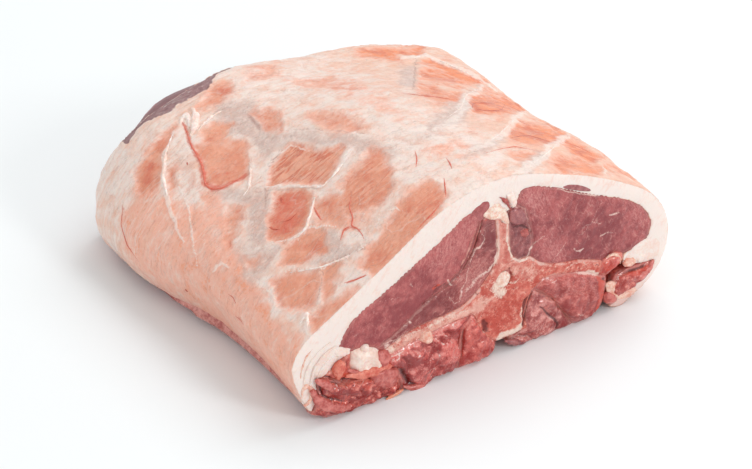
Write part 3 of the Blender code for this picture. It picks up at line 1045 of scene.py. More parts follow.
FAT_BARE = {
    "shield": Patch("195,146 215,143 245,144 248,160 247,175 232,182 216,188 208,185 204,167", 7.2),
    "shield_branch": Patch("198,146 203,132 214,122 233,125 226,133 216,144", 7.2),
    "crown_spot": Patch("252,113 265,110 279,111 281,127 266,130 261,119", 8.0, 0.72),
    "crown_band": Patch("311,118 330,110 352,116 368,127 347,131 330,129", 10.0, 0.62),
    "striped": Patch("285,147 300,148 344,150 336,165 324,181 292,185 271,186 274,168", 7.2),
    "striped_right": Patch("362,164 372,151 383,152 390,170 394,186 384,199 364,210 349,216 342,200 "
        "343,184", 9.6),
    "pocket": Patch("276,195 284,192 313,193 307,214 301,227 285,239 268,238 270,226", 7.2),
    "beside_pocket": Patch("314,201 332,192 347,196 349,215 340,226 322,223", 11.2, 0.75),
    "under_pocket": Patch("287,247 302,236 322,227 328,238 324,250 300,263 281,266", 7.2),
    "rim_upper": Patch("378,238 395,210 412,190 428,180 446,190 436,210 420,232 402,250 390,262 372,277 "
        "359,266", 9.6),
    "rim_lower": Patch("309,317 328,304 358,288 350,301 328,322 316,331", 9.6, 0.8),
    "hollow": Patch("276,281 317,271 320,288 313,305 300,309 280,306", 8.8, 0.85),
    "hollow_right": Patch("322,266 340,264 341,277 330,295 326,304", 8.0, 0.85),
    "faint_streak": Patch("229,208 243,210 240,234 231,251 227,238", 9.6, 0.7),
    "far_streak": Patch("153,148 174,127 162,150 160,170 156,190 143,196 135,178", 9.6, 0.95),
    "far_small": Patch("170,171 176,169 175,187 168,190", 7.2, 0.75),
    "speck": Patch("246,259 258,257 256,266 246,267", 8.0, 0.6),
    "back_left": Patch("214,85 231,83 233,92 216,103 198,112 203,99", 7.2, 0.8),
    "back_top": Patch("245,73 275,65 279,71 268,76 244,80", 8.8, 0.6),
    "back_orange": Patch("357,54 370,49 421,48 424,53 380,58", 7.2),
    "back_line": Patch("286,79 300,80 335,83 362,86 350,91 318,88", 6.0, 0.6),
    "right_strip_top": Patch("422,63 439,60 485,80 480,87 455,79 430,67", 7.2),
    "right_strip_low": Patch("418,72 431,71 474,85 444,83 420,79", 7.2),
    "right_second": Patch("418,86 434,87 445,94 463,95 456,102 440,102 421,92", 7.2),
    "right_box": Patch("468,98 478,94 509,98 529,110 521,112 500,114 474,112", 7.2),
    "right_third": Patch("503,128 530,125 563,135 553,146 530,143 509,138", 7.2),
    "right_small": Patch("511,156 531,154 526,164 513,162", 7.2, 0.7),
    "right_fourth": Patch("548,162 565,158 592,160 604,169 602,175 566,173", 7.2, 0.72),
    "right_rim": Patch("563,142 572,141 600,157 596,162 574,152", 7.2),
    "right_tail": Patch("605,167 613,165 634,180 622,178", 7.2, 0.8),
    "right_edge": Stroke("518,105 545,122 566,137", 3.0, 0.9),
}

FAT_STRIPES = {
    "stripes": Patch("278,148 344,148 330,184 268,188", 5.0),
    "stripes_right": Patch("348,170 390,152 396,190 345,216", 8.0, 0.25),
    "stripes_rim": Patch("380,240 430,185 446,195 372,277", 8.0, 0.2),
}

FAT_MEMBRANE = {
    "centre": Patch("214,118 216,100 250,99 279,131 332,133 376,137 401,149 395,166 353,151 285,143 "
        "262,160 250,143 233,140", 9.0),
    "left": Patch("176,152 193,155 198,188 180,188", 12.0, 0.6),
    "low": Patch("216,190 250,190 271,190 272,225 262,250 250,246 247,208 222,204", 8.0),
    "back": Patch("398,67 415,63 417,91 398,88", 8.0),
    "band_one": Patch("461,94 479,88 466,119 433,136 424,123", 5.5),
    "band_two": Patch("500,135 507,138 486,156 466,160 476,146", 5.5),
    "band_three": Patch("535,151 549,156 530,176 511,177", 5.5),
    "cross": Patch("326,229 338,227 341,246 366,246 344,262 301,271 316,256", 7.0),
    "flank": Patch("238,247 279,243 277,264 255,285 237,276", 9.0, 0.8),
    "far": Patch("146,135 196,93 206,96 172,122 158,140", 8.0, 0.45),
    "waist": Patch("395,138 440,120 452,134 410,150", 11.0, 0.55),
}

# Creases in the fat: painted darker as shade in the finish, and sunk a little in the skin
FAT_CREASES = {
    "veil_shadow": Patch("246,112 252,112 263,128 258,130 248,118", 3.0, 0.7),
    "shield": Stroke("265,178 266,192 265,209", 2.0, 0.55),
    "cross": Stroke("241,191 262,192 288,189 330,182", 1.8, 0.5),
    "left": Stroke("193,190 194,215 193,238", 1.8, 0.45),
    "hollow": Stroke("322,271 321,285 318,299", 1.6, 0.7),
    "crown": Stroke("279,130 310,130 345,131 378,136", 1.4, 0.55),
    "back": Stroke("416,58 415,72 413,90", 1.6, 0.7),
    "cross_low": Stroke("330,262 348,255 366,249", 1.6, 0.7),
    "nub": Stroke("197,133 204,124 217,112 232,104", 1.8, 0.6),
    "frame": Stroke("270,168 276,158 284,150", 1.6, 0.7),
    "back_waves": Stroke("230,106 270,100 320,97", 1.6, 0.35),
}

FAT_FLANK = {
    "left": Patch("170,150 200,150 205,195 175,195", 12.0, 0.45),
    "middle": Patch("245,190 272,190 270,240 250,245", 12.0, 0.4),
    "flank": Patch("118,215 140,200 165,196 215,205 232,262 262,285 275,320 300,335 300,420 255,368 "
        "190,312 125,262", 14.0),
    "band": Patch("200,192 222,192 232,235 250,270 228,280 206,240", 8.0, 0.9),
    "far": Patch("128,190 150,145 172,128 166,160 160,200 140,215", 8.0, 0.8),
    "waist": Patch("330,195 352,188 380,195 372,225 345,232", 8.0, 0.7),
    "back": Patch("300,85 360,78 400,100 415,160 480,165 500,150 470,140 420,140 380,118", 10.0, 0.5),
}

FAT_RIDGES = {
    "nub": Stroke("193,109 196,118 194,131", 2.7),
    "nub_tail": Stroke("180,118 187,116 186,124", 1.9, 0.8),
    "white_band_far": Stroke("174,131 165,152 163,180 172,215 184,242", 4.0, 0.75),
    "white_rib": Stroke("179,186 189,208 193,236 197,268", 1.8, 0.8),
    "shield_right": Stroke("250,160 251,175 250,188", 1.6, 0.8),
    "striped_frame": Stroke("265,177 266,188 295,187 324,186 336,172 352,150", 1.6),
    "striped_top": Stroke("279,156 290,146 303,149 312,152", 1.5, 0.7),
    "pocket_right": Stroke("316,196 311,214 307,230 298,240", 1.6),
    "pocket_under": Stroke("269,243 290,240 307,229 324,226 336,227", 1.5, 0.9),
    "cross_ridge": Stroke("286,273 300,270 322,268 345,258 366,246", 1.5, 0.8),
    "hook_ridge": Stroke("385,212 396,208 404,211", 1.5, 0.8),
    "band_one_edge": Patch("482,86 484,91 472,100 467,111 453,125 437,134 431,129 444,120 455,110 460,98",
        3.5, 0.62),
    "band_two_edge": Patch("526,109 529,113 512,129 500,141 481,153 470,158 468,152 484,142 497,131 "
        "509,119", 3.0, 0.66),
    "band_three_edge": Patch("568,134 569,139 555,152 543,164 523,176 512,178 511,172 530,161 544,150 "
        "555,140", 3.0, 0.7),
    "strip_edge": Stroke("400,59 425,56 445,63 478,78 497,92", 3.0, 0.7),
    "tail_nub": Stroke("603,167 606,176", 1.9),
    "low_pale": Stroke("213,272 222,262 229,268", 2.4, 0.7),
    "rim_ridge": Stroke("300,322 308,312 306,330 312,345", 1.9, 0.6),
    "hollow_edge": Stroke("268,290 276,300 272,312", 2.1, 0.6),
}

FAT_BLOOD = {
    "far_smudge": Patch("146,166 157,154 156,178 147,187 138,184", 6.0, 0.6),
    "pocket_mark": Stroke("269,227 275,230 281,229", 2.2, 0.9),
    "pocket_mark_two": Stroke("281,198 283,201", 2.4),
    "pocket_mark_three": Stroke("283,222 290,220 297,213", 1.8, 0.8),
    "hook_mark": Stroke("342,231 352,227 359,229 363,237", 2.2, 0.8),
    "hook_mark_two": Stroke("315,208 317,215 322,220", 2.2, 0.7),
    "rim_marks": Stroke("345,283 355,280 366,275", 2.4, 0.8),
    "rim_blush": Stroke("398,250 420,225 440,205", 4.0, 0.35),
    "low_blush": Patch("238,335 262,348 300,395 290,402 250,372 232,350", 8.0, 0.5),
    "low_spot": Stroke("316,328 320,331", 4.0, 0.5),
    "flank_spot": Stroke("228,243 233,249", 4.0, 0.5),
    "flank_spot_two": Stroke("250,291 259,296", 5.0, 0.4),
    "vein_halo": Stroke("184,124 191,145 202,165 205,184 214,189 225,187 246,175", 6.0, 0.8),
    "hook_halo": Stroke("351,196 352,215 351,226 362,234", 4.4, 0.55),
    "hook_hollow": Stroke("342,238 346,232 352,229 360,232 364,239", 3.0, 0.4),
    "pocket": Patch("274,194 290,191 312,194 305,216 296,230 270,240 268,224", 8.0, 0.72),
    "far": Patch("142,165 160,146 158,170 152,188 138,186", 7.0, 0.5),
    "shield": Patch("204,168 222,165 240,172 222,186 208,186", 7.0, 0.5),
    "pocket_low": Patch("268,228 276,224 286,230 280,238 268,238", 5.0, 0.45),
    "box": Stroke("470,100 478,96 500,99 522,108", 3.0, 0.45),
    "right": Stroke("504,132 520,128 545,134 560,140", 3.0, 0.35),
    "right_marks": Stroke("468,132 480,136", 3.0, 0.5),
}

FAT_FILM = {
    "far_lean": Patch("128,146 136,133 148,123 162,114 177,105 193,95 209,88 217,76 221,66 190,66 140,100 "
        "115,135", 2.5),
    "far_lean_end": Stroke("219,73 226,70 234,67", 2.5, 0.8),
}

FAT_MARKS: Marks = {
    Mark.BARE: FAT_BARE, Mark.STRIPED: FAT_STRIPES, Mark.MEMBRANE: FAT_MEMBRANE, Mark.CREASE: FAT_CREASES,
    Mark.FLANK: FAT_FLANK, Mark.RIDGE: FAT_RIDGES, Mark.BLOOD: FAT_BLOOD, Mark.FILM: FAT_FILM,
}


@dataclass
class FatCover:
    """The arched cover of fat over the whole saddle."""

    node: str = "fat_cover"
    voxel: float = 0.9
    triangle_goal: int = 185_000
    near_kept: float = 5.0
    far_kept: float = 24.0
    facing_in: float = -0.25
    inner_lift: float = 0.35
    corner: float = 1.8
    swell: float = 0.25
    broad_relief: float = 0.45
    middling_relief: float = 0.22
    fine_relief: float = 0.14
    stripe_relief: float = 0.35
    hidden_lift: float = 0.45
    bare_depth: float = 0.5
    lip_height: float = 0.2
    ridge_height: float = 0.4
    crease_depth: float = 0.5
    blood_depth: float = 0.2
    film_depth: float = 0.5
    camera: PhotoCamera = PhotoCamera()

    def build(self) -> bpy.types.Object:
        """Model the cover and dress it.

        Returns:
            The finished skin.
        """
        cover = Sculpture.over_node("fat_skin", self.node, self.voxel)
        cover.relax(3, 0.5)
        cover = self.thinned(cover)
        inner = 1.0 - smoothstep(self.outwards(cover.points, cover.normals()), -0.5, -0.2)
        cover.push(self.inner_lift * inner)
        cover.squared(self.corner)
        self.read_marks(cover)
        self.raise_relief(cover)
        return cover.done(FatFinish().material(), "fat", self.node)

    @staticmethod
    def outwards(points: np.ndarray, normals: np.ndarray) -> np.ndarray:
        """How much each normal points away from the middle of the saddle."""
        way = points * (1.0, 0.0, 1.0) - (0.0, 0.0, BODY_AXIS_HEIGHT)
        return (way * normals).sum(1) / np.maximum(np.linalg.norm(way, axis=1), 1.0)

    def thinned(self, cover: Sculpture) -> Sculpture:
        """Coarsen the side that lies on the muscles, which nothing shows.

        Args:
            cover: The even mesh.

        Returns:
            The cover with fewer triangles.
        """
        spine = cover.points[:, 1]
        between_cuts = (spine > SAWN_Y + self.near_kept) & (spine < FAR_Y - self.far_kept)
        inner = between_cuts & (self.outwards(cover.points, cover.normals()) < self.facing_in)
        total = sum(len(face.vertices) - 2 for face in cover.mesh.polygons)
        holder = put(cover.name, cover.mesh)
        group = holder.vertex_groups.new(name="inner")
        group.add(np.flatnonzero(inner).tolist(), 1.0, "REPLACE")
        thin = holder.modifiers.new("thin", "DECIMATE")
        thin.vertex_group = group.name
        thin.ratio = min(1.0, self.triangle_goal / total)
        return Sculpture(cover.name, baked(holder))

    def read_marks(self, cover: Sculpture) -> None:
        """Lay the marks of the photograph on the side that it shows, and like ones on the rest.

        Args:
            cover: The cover, which gets a layer for each kind of mark.
        """
        points, normals = cover.points, cover.normals()
        exact = self.camera.project(points)
        covered = marked(wavered(exact, points, {14.0: 5.0, 4.5: 3.4, 1.8: 1.2}), FAT_MARKS, Patch)
        steadier = wavered(exact, points, {4.5: 1.5, 1.8: 1.1})
        stains = {name: Stroke(vessel.pixels, 1.6 + 4.0 * vessel.radius, 0.5)
                  for name, vessel in (FRESH_VESSELS | DARK_VESSELS).items()}
        for drawn in (marked(steadier, FAT_MARKS, Stroke), marked(steadier, {Mark.BLOOD: stains})):
            for kind, values in drawn.items():
                covered[kind] = np.maximum(covered[kind], values)
        seen = smoothstep(self.camera.facing(points, normals), 0.0, 0.1)
        girth = GIRTH_RADIUS * np.arctan2(points[:, 0], points[:, 2] - BODY_AXIS_HEIGHT)
        skin = np.stack([girth, points[:, 1], np.zeros(len(points))], 1)
        cloud = noise_at(skin, 15.0, 3.1, (1.7, 1.0, 1.0)) + 0.4 * noise_at(skin, 5.0, 8.4, (2.0, 1.0, 1.0))
        veil = noise_at(skin, 13.0, 21.7, (2.2, 1.0, 1.0))
        lines = np.abs(noise_at(skin, 17.0, 33.2, (1.2, 1.0, 1.0)))
        elsewhere = {
            Mark.BARE: smoothstep(cloud, 0.05, 0.5) * 0.62,
            Mark.MEMBRANE: smoothstep(veil, 0.0, 0.4) * 0.75,
            Mark.FLANK: 1.0 - smoothstep(points[:, 2], 15.0, 50.0),
            Mark.RIDGE: (1.0 - smoothstep(lines, 0.0, 0.035)) * smoothstep(veil, 0.1, 0.3) * 0.7,
        }
        for mark in FAT_MARKS:
            other = elsewhere.get(mark, 0.0)
            cover.layers[mark.value] = covered[mark] * seen + other * (1.0 - seen)
        cover.layers["girth"] = girth * MM
        near_cut = smoothstep(-normals[:, 1], 0.55, 0.8) * (points[:, 1] < SAWN_Y + 2.0)
        far_cut = smoothstep(normals[:, 1], 0.6, 0.85) * (points[:, 1] > FAR_Y - 20.0)
        cover.layers["cut"] = np.maximum(near_cut, far_cut)

    def raise_relief(self, cover: Sculpture) -> None:
        """Give the skin its swells, wrinkles, ridges and creases.

        Args:
            cover: The cover with its layers.
        """
        points, layers = cover.points, cover.layers
        skin = np.stack([layers["girth"] / MM, points[:, 1], np.zeros(len(points))], 1)
        outer = smoothstep(self.outwards(points, cover.normals()), 0.1, 0.4)
        wrinkles = noise_at(skin, 3.4, 5.0, (3.5, 1.0, 1.0)) + 0.6 * noise_at(skin, 1.9, 9.0, (2.5, 1.0, 1.0))
        bare = layers["bare"]
        height = (
            self.swell
            + self.broad_relief * noise_at(points, 16.0, 1.0)
            + self.middling_relief * noise_at(points, 6.0, 2.0)
            + self.fine_relief * wrinkles
            + self.fine_relief * 0.7 * noise_at(points, 2.2, 4.0)
            + self.stripe_relief * layers["striped"] * noise_at(skin, 2.4, 15.0, (5.0, 1.0, 1.0))
            - self.bare_depth * smoothstep(bare, 0.15, 0.55)
            + self.lip_height * (smoothstep(bare, 0.0, 0.15) - smoothstep(bare, 0.15, 0.4))
            + self.ridge_height * layers["ridge"]
            - self.crease_depth * layers["crease"]
            - self.blood_depth * layers["blood"]
            - self.film_depth * layers["film"]
        )
        on_cut = layers["cut"]
        cut_height = 0.12 * noise_at(points, 2.5, 6.0) + 0.15 * noise_at(points, 7.0, 7.0)
        cover.push(np.where(on_cut > 0.4, cut_height, height * outer + self.hidden_lift * (1.0 - outer)))
        cover.relax(1, 0.25)


CUT_PALE = {
    "spine_right_line": Stroke("507.4,224 507,241 508.6,250 512,258 519,261.5 526,258 529.5,250 534,245",
        1.6, 0.9),
    "spine_left_line": Stroke("498,240 498,251 495,262 489,271 479,276", 2.0, 0.8),
    "lamina_line": Stroke("489,271 479,277 474,284 466,292", 3.0, 0.55),
    "deep_septum": Stroke("481,232 485,239 482,246 475,250 472,260 468,273", 1.5, 0.7),
    "deep_septum_low": Stroke("468,273 465,287 459,301 455,304 450,297", 1.3, 0.6),
    "rib_right_line": Stroke("565,268 572,265 581,262 591,263", 1.5, 0.6),
    "rib_right_end": Patch("574,274 580,271 590,269 597,271 598,276 584,275", 2.0),
    "loin_foot_line": Stroke("552,267 554,261 561,252 567,243", 1.3, 0.5),
    "loin_foot_line_two": Stroke("534,246 540,240 548,236", 1.3, 0.5),
    "loin_long_line": Stroke("584,236 592,224 598,212 602,202", 1.1, 0.4),
    "strip_line": Stroke("558,189 575,193 591,195 605,194 624,197", 1.6, 0.8),
    "fleck_high": Stroke("611,217 616,215 621,213", 1.2, 0.7),
    "fleck_mid": Stroke("600,236 608,234 616,234", 1.3, 0.6),
    "fleck_low": Stroke("575,250 580,252 585,249", 1.8, 0.9),
    "fleck_left": Stroke("582,230 586,227 590,226", 1.0, 0.5),
    "fleck_top": Stroke("594,223 600,224 605,223", 1.1, 0.6),
    "tender_flecks": Stroke("543,300 556,297 570,294 584,293", 1.0, 0.4),
    "tender_fleck": Stroke("576,313 584,315", 1.8, 0.6),
    "rib_left_line": Stroke("384,344 396,340 412,333 427,327 440,321 453,314 466,310 474,311", 2.0, 0.6),
    "rib_left_thin": Stroke("387,359 395,355 403,351", 1.4, 0.8),
    "rib_left_band": Patch("392,347 412,338 440,326 462,314 466,309 440,316 412,328 390,340", 3.0, 0.45),
    "rib_left_end": Patch("384,345 389,343 395,348 389,355 385,353", 2.0, 0.7),
    "canal_white": Patch("493,282 498,279 505,283 508,292 503,300 496,299 490,290", 4.0, 0.75),
    "canal_wall": Stroke("508,283 514,283 519,279", 2.0, 0.6),
    "base_white": Patch("496,340 500,333 515,328 521,322 524,326 518,332 503,338 499,343", 1.6, 0.9),
    "body_right_line": Stroke("523,304 520,314 522,325", 1.5, 0.7),
    "loin_left_fleck": Stroke("412,284 415,288", 1.4, 0.7),
    "loin_left_fleck_two": Stroke("454,258 460,261 455,264", 1.4, 0.5),
    "loin_left_fleck_three": Stroke("449,281 452,285", 1.8, 0.9),
    "loin_left_fleck_four": Stroke("409,321 412,324", 1.8, 0.8),
    "loin_left_fleck_five": Stroke("380,303 392,300 402,298", 1.2, 0.5),
    "loin_left_fleck_six": Stroke("356,337 360,335", 1.6, 0.5),
}

# Dark marks on the cut face: painted shade in its gaps, folds, pits and valleys, which are also sunk, and one
# spot of dark blood
CUT_DARK = {
    "deep_gap": Stroke("482,219 479.5,230 476,242 469,257 463,269", 3.4, 0.95),
    "deep_gap_low": Stroke("463,269 454,280 447,286 438,292 424,306", 2.0, 0.6),
    "deep_top_hollow": Patch("483,221 493,220 495,230 489,236 483,233", 4.0, 0.35),
    "bundle_gap": Stroke("515,228 521,226 527,228 530,232", 2.4, 0.9),
    "bundle_gap_left": Stroke("509,213 512,221 514,227", 1.4, 0.6),
    "loin_gap": Stroke("533,236 536,242 533,247", 2.0, 0.5),
    "canal_shadow": Stroke("509,269 510.5,276 508,281", 2.0),
    "fillet_gap": Stroke("532,291 526,303 523,314 523,326", 2.4, 0.85),
    "psoas_gap": Stroke("541,308 546,312 552,318 558,324 556,330", 2.6, 0.9),
    "psoas_under": Stroke("502,342 514,336 528,336 536,341", 2.2, 0.6),
    "hollow_right": Patch("603,280 608,273 618,268 629,267 640,266 647,259 645,267 634,271 622,274 611,281",
        2.4),
    "pit_one": Patch("481,323 486,320 490,324 488,332 482,332", 2.5, 0.9),
    "pit_two": Stroke("476,292 478,295", 1.6, 0.7),
    "flank_fold": Stroke("324,377 331,380 338,381.5 346,380 358,377 372,376.5", 2.6),
    "flank_low_fold": Stroke("316,384 318,390 323,396 332,400 344,401.5", 2.6, 0.9),
    "flank_pits": Stroke("352,386 358,390 366,392", 1.6, 0.4),
    "undercut_hollow": Patch("398,371 404,368 408,376 414,383 424,386 412,389 404,384", 2.4, 0.9),
    "undercut_crease": Stroke("405,352 412,358 420,362 428,360", 1.8, 0.45),
    "undercut_crease_two": Stroke("430,345 437,350 440,358", 1.8, 0.45),
    "seam_blood": Stroke("436,290 440,288", 1.8, 0.6),
    "undercut_valley": Stroke("435,345 438,354 437,365 431,377", 2.2, 0.5),
    "undercut_valley_two": Stroke("462,328 463,342 462,356 457,368", 2.0, 0.45),
}

CUT_BRIGHT = {
    "seam": Stroke("434,291 438,289 442,287", 2.6),
    "body": Patch("500,296 515,290 524,290 522,304 512,318 500,330 484,338 478,326 488,310", 9.0, 0.6),
    "body_edge": Stroke("516,284 527,286 530,296 522,312", 5.0, 0.6),
    "base": Stroke("492,336 505,331 519,322", 4.0, 0.7),
    "fillet_edge": Stroke("597,274 602,283 602,298 598,312", 5.5, 0.9),
    "curl": Patch("600,264 606,262 616,264 616,271 606,274", 3.0, 0.7),
    "hollow_rim": Stroke("622,273 638,273 648,267 653,256", 5.0, 0.8),
    "flank": Patch("330,372 345,362 365,372 392,366 402,380 392,395 370,402 350,402", 6.0, 0.4),
    "flank_bright": Stroke("362,380 366,388 371,385", 4.0, 0.7),
    "undercut": Patch("440,345 462,332 476,330 474,345 460,356 444,360", 7.0, 0.5),
    "curl_left": Patch("334,366 342,361 350,372 362,374 352,380 336,378", 3.0),
    "cap_specks": Stroke("486,220 494,219 503,222", 2.5, 0.6),
    "spine_specks": Stroke("500,228 502,240 501,254", 3.0, 0.45),
}

CUT_SHADE = {
    "loin_left": Patch("405,300 430,285 448,288 438,305 412,324 390,337 378,335 390,315", 14.0, 0.7),
    "loin_right": Patch("572,240 598,214 622,220 616,246 588,256", 14.0, 0.9),
    "loin_right_low": Patch("570,255 600,250 625,252 600,262", 8.0, 0.7),
    "deep_left": Patch("482,222 495,222 497,245 486,252", 6.0),
    "flank": Patch("318,382 350,386 372,392 350,400 326,396", 6.0, 0.8),
    "undercut": Patch("396,362 412,350 424,362 430,378 410,386", 7.0),
}

CUT_GLOW = {
    "loin_left": Patch("425,262 450,238 476,214 484,210 478,232 460,256 440,274", 14.0, 0.9),
    "loin_right": Patch("518,190 545,187 553,200 540,218 522,214", 10.0, 0.9),
    "loin_right_edge": Patch("622,198 645,206 650,225 640,240 632,220", 10.0, 0.5),
    "loin_right_foot": Patch("538,245 560,240 566,262 548,264", 9.0, 0.8),
    "deep_left_pale": Patch("462,275 478,258 494,262 488,276 474,292 460,300", 8.0),
    "rib_left_pale": Patch("386,352 412,333 440,322 470,306 482,298 494,296 482,312 462,319 440,329 "
        "410,343 392,356", 5.0),
    "body_pale": Patch("500,262 530,262 545,272 530,284 508,276", 6.0, 0.6),
    "fillet": Patch("560,280 590,278 596,300 570,296", 8.0, 0.5),
    "psoas": Patch("530,322 545,318 552,330 536,338", 6.0, 0.7),
    "undercut_pale": Patch("408,366 420,364 432,372 426,382 412,384", 5.0),
    "undercut_pale_two": Patch("442,346 454,342 458,356 448,366", 5.0, 0.8),
}

CUT_RAISED = {
    "flank_mass": Patch("330,386 350,383 368,382 374,392 360,399 340,398", 6.0, 0.6),
    "undercut": Patch("412,356 424,350 436,356 436,372 424,378 413,370", 6.0, 0.9),
    "undercut_swell_two": Patch("440,346 450,342 459,348 459,362 450,370 441,366", 5.0),
    "undercut_swell_low": Patch("406,372 416,368 428,373 432,380 420,385 410,383", 4.0),
    "fillet_left": Patch("466,330 478,322 490,332 491,348 480,357 467,358", 6.0, 0.7),
    "psoas": Patch("524,318 536,312 548,322 552,334 538,340 524,334", 6.0, 0.9),
    "fillet": Patch("546,286 566,276 590,280 598,296 590,314 566,322 552,306", 10.0, 0.7),
}

CUT_SUNK = {
    "fillet": Stroke("540,300 556,297 570,294 586,292", 4.0, 0.4),
    "psoas_low": Stroke("520,336 536,334 548,340", 5.0, 0.5),
    "loin": Stroke("470,240 458,262 440,284", 8.0, 0.35),
    "marrow": Patch("484,306 500,300 514,300 510,316 492,328 482,324", 8.0, 0.35),
}

CUT_MARKS: Marks = {
    Mark.PALE: CUT_PALE, Mark.DARK: CUT_DARK, Mark.BRIGHT: CUT_BRIGHT, Mark.SHADE: CUT_SHADE,
    Mark.GLOW: CUT_GLOW, Mark.RAISED: CUT_RAISED, Mark.SUNK: CUT_SUNK,
}


@dataclass(frozen=True)
class Muscle:
    """One muscle of the cut face: its node, slot, finish and how lumpy and worn its cut is."""

    node: str
    slot: str
    finish: LeanFinish
    lump_mm: float
    lump_size: float
    grain_mm: float = 0.12
    flatten: float = 0.0
    rounding: int = 6
    # How dark the hollows between the lumps are painted, as shade; below 1 the cut's rim also drops
    creased: float = 1.0


def lean(name: str, flesh: Triple, deep: Triple, light: Triple, **more: float) -> LeanFinish:
    """A lean finish from three colours as they look."""
    return LeanFinish(name, srgb(*flesh), srgb(*deep), srgb(*light), **more)


def plain(name: str, light: Triple, dark: Triple, *more: float) -> PlainFinish:
    """A plain finish from two colours as they look."""
    return PlainFinish(name, srgb(*light), srgb(*dark), *more)


MUSCLES = (
    Muscle("loin_left", "lean", lean(
        "lean_loin_left", (184, 94, 92), (142, 56, 60), (206, 140, 134),
        grain_deg=12.0, grain_stretch=2.4, rim_strength=0.15, wet=0.15), 0.3, 6.0, 0.16, 0.8, 3, 0.0),
    Muscle("loin_right", "lean", lean(
        "lean_loin_right", (178, 88, 87), (136, 54, 58), (206, 142, 137), marbling=0.8,
        grain_deg=-24.0, grain_stretch=2.8, rim_strength=0.15, wet=0.15), 0.32, 6.0, 0.18, 0.8, 3, 0.0),
    Muscle("deep_muscle_left", "lean_dark", lean(
        "lean_deep_left", (170, 84, 80), (128, 48, 50), (206, 138, 130),
        grain_deg=50.0, marbling=1.0), 0.7, 3.6, 0.15, 0.4, 3, 0.35),
    Muscle("deep_muscle_right", "lean_dark", lean(
        "lean_deep_right", (162, 84, 82), (120, 50, 54), (206, 146, 140),
        grain_deg=5.0, marbling=1.0), 0.6, 3.4, 0.15, 0.4, 3, 0.3),
    Muscle("tenderloin_right", "lean_red", lean(
        "lean_fillet_right", (192, 82, 74), (142, 38, 36), (220, 142, 130),
        grain_deg=-60.0, grain_stretch=2.6, wet=0.8, relief=0.25), 0.7, 6.5, 0.12, 0.2, 12, 0.35),
    Muscle("psoas_right", "lean_dark", lean(
        "lean_psoas_right", (210, 116, 106), (142, 44, 44), (230, 168, 160),
        grain_deg=30.0, wet=0.9, relief=0.25), 0.9, 6.0, 0.12, 0.1, 14, 0.5),
    Muscle("tenderloin_left", "lean_red", lean(
        "lean_fillet_left", (222, 98, 84), (162, 42, 38), (230, 146, 132),
        grain_deg=-40.0, wet=0.9, relief=0.35), 1.0, 5.0, 0.15, 0.2, 12, 0.6),
    Muscle("undercut_left", "lean_red", lean(
        "lean_undercut_left", (216, 90, 80), (148, 34, 32), (230, 154, 144),
        grain_deg=15.0, wet=1.0, relief=0.3), 1.7, 6.5, 0.1, 0.0, 14, 0.7),
    Muscle("flank_left", "lean_red", lean(
        "lean_flank_left", (230, 92, 74), (144, 28, 24), (238, 164, 148),
        grain_deg=80.0, wet=1.0, relief=0.4), 1.4, 4.4, 0.2, 0.0, 20, 0.8),
    Muscle("flank_right", "lean_red", lean(
        "lean_flank_right", (218, 96, 82), (156, 42, 36), (234, 170, 156),
        grain_deg=10.0, wet=0.9, relief=0.3, marbling=1.0), 0.9, 5.0, 0.12, 0.0, 24, 0.5),
    Muscle("curl_left", "lean_bright", lean(
        "lean_curl_left", (214, 104, 84), (170, 54, 42), (236, 160, 138),
        grain_deg=45.0, wet=0.9, relief=0.35), 0.8, 3.5, 0.12, 0.0, 16),
    Muscle("curl_right", "lean_bright", lean(
        "lean_curl_right", (226, 92, 76), (172, 42, 34), (234, 150, 132),
        grain_deg=-45.0, wet=0.9, relief=0.3), 0.8, 4.5, 0.12, 0.0, 16, 0.6),
)


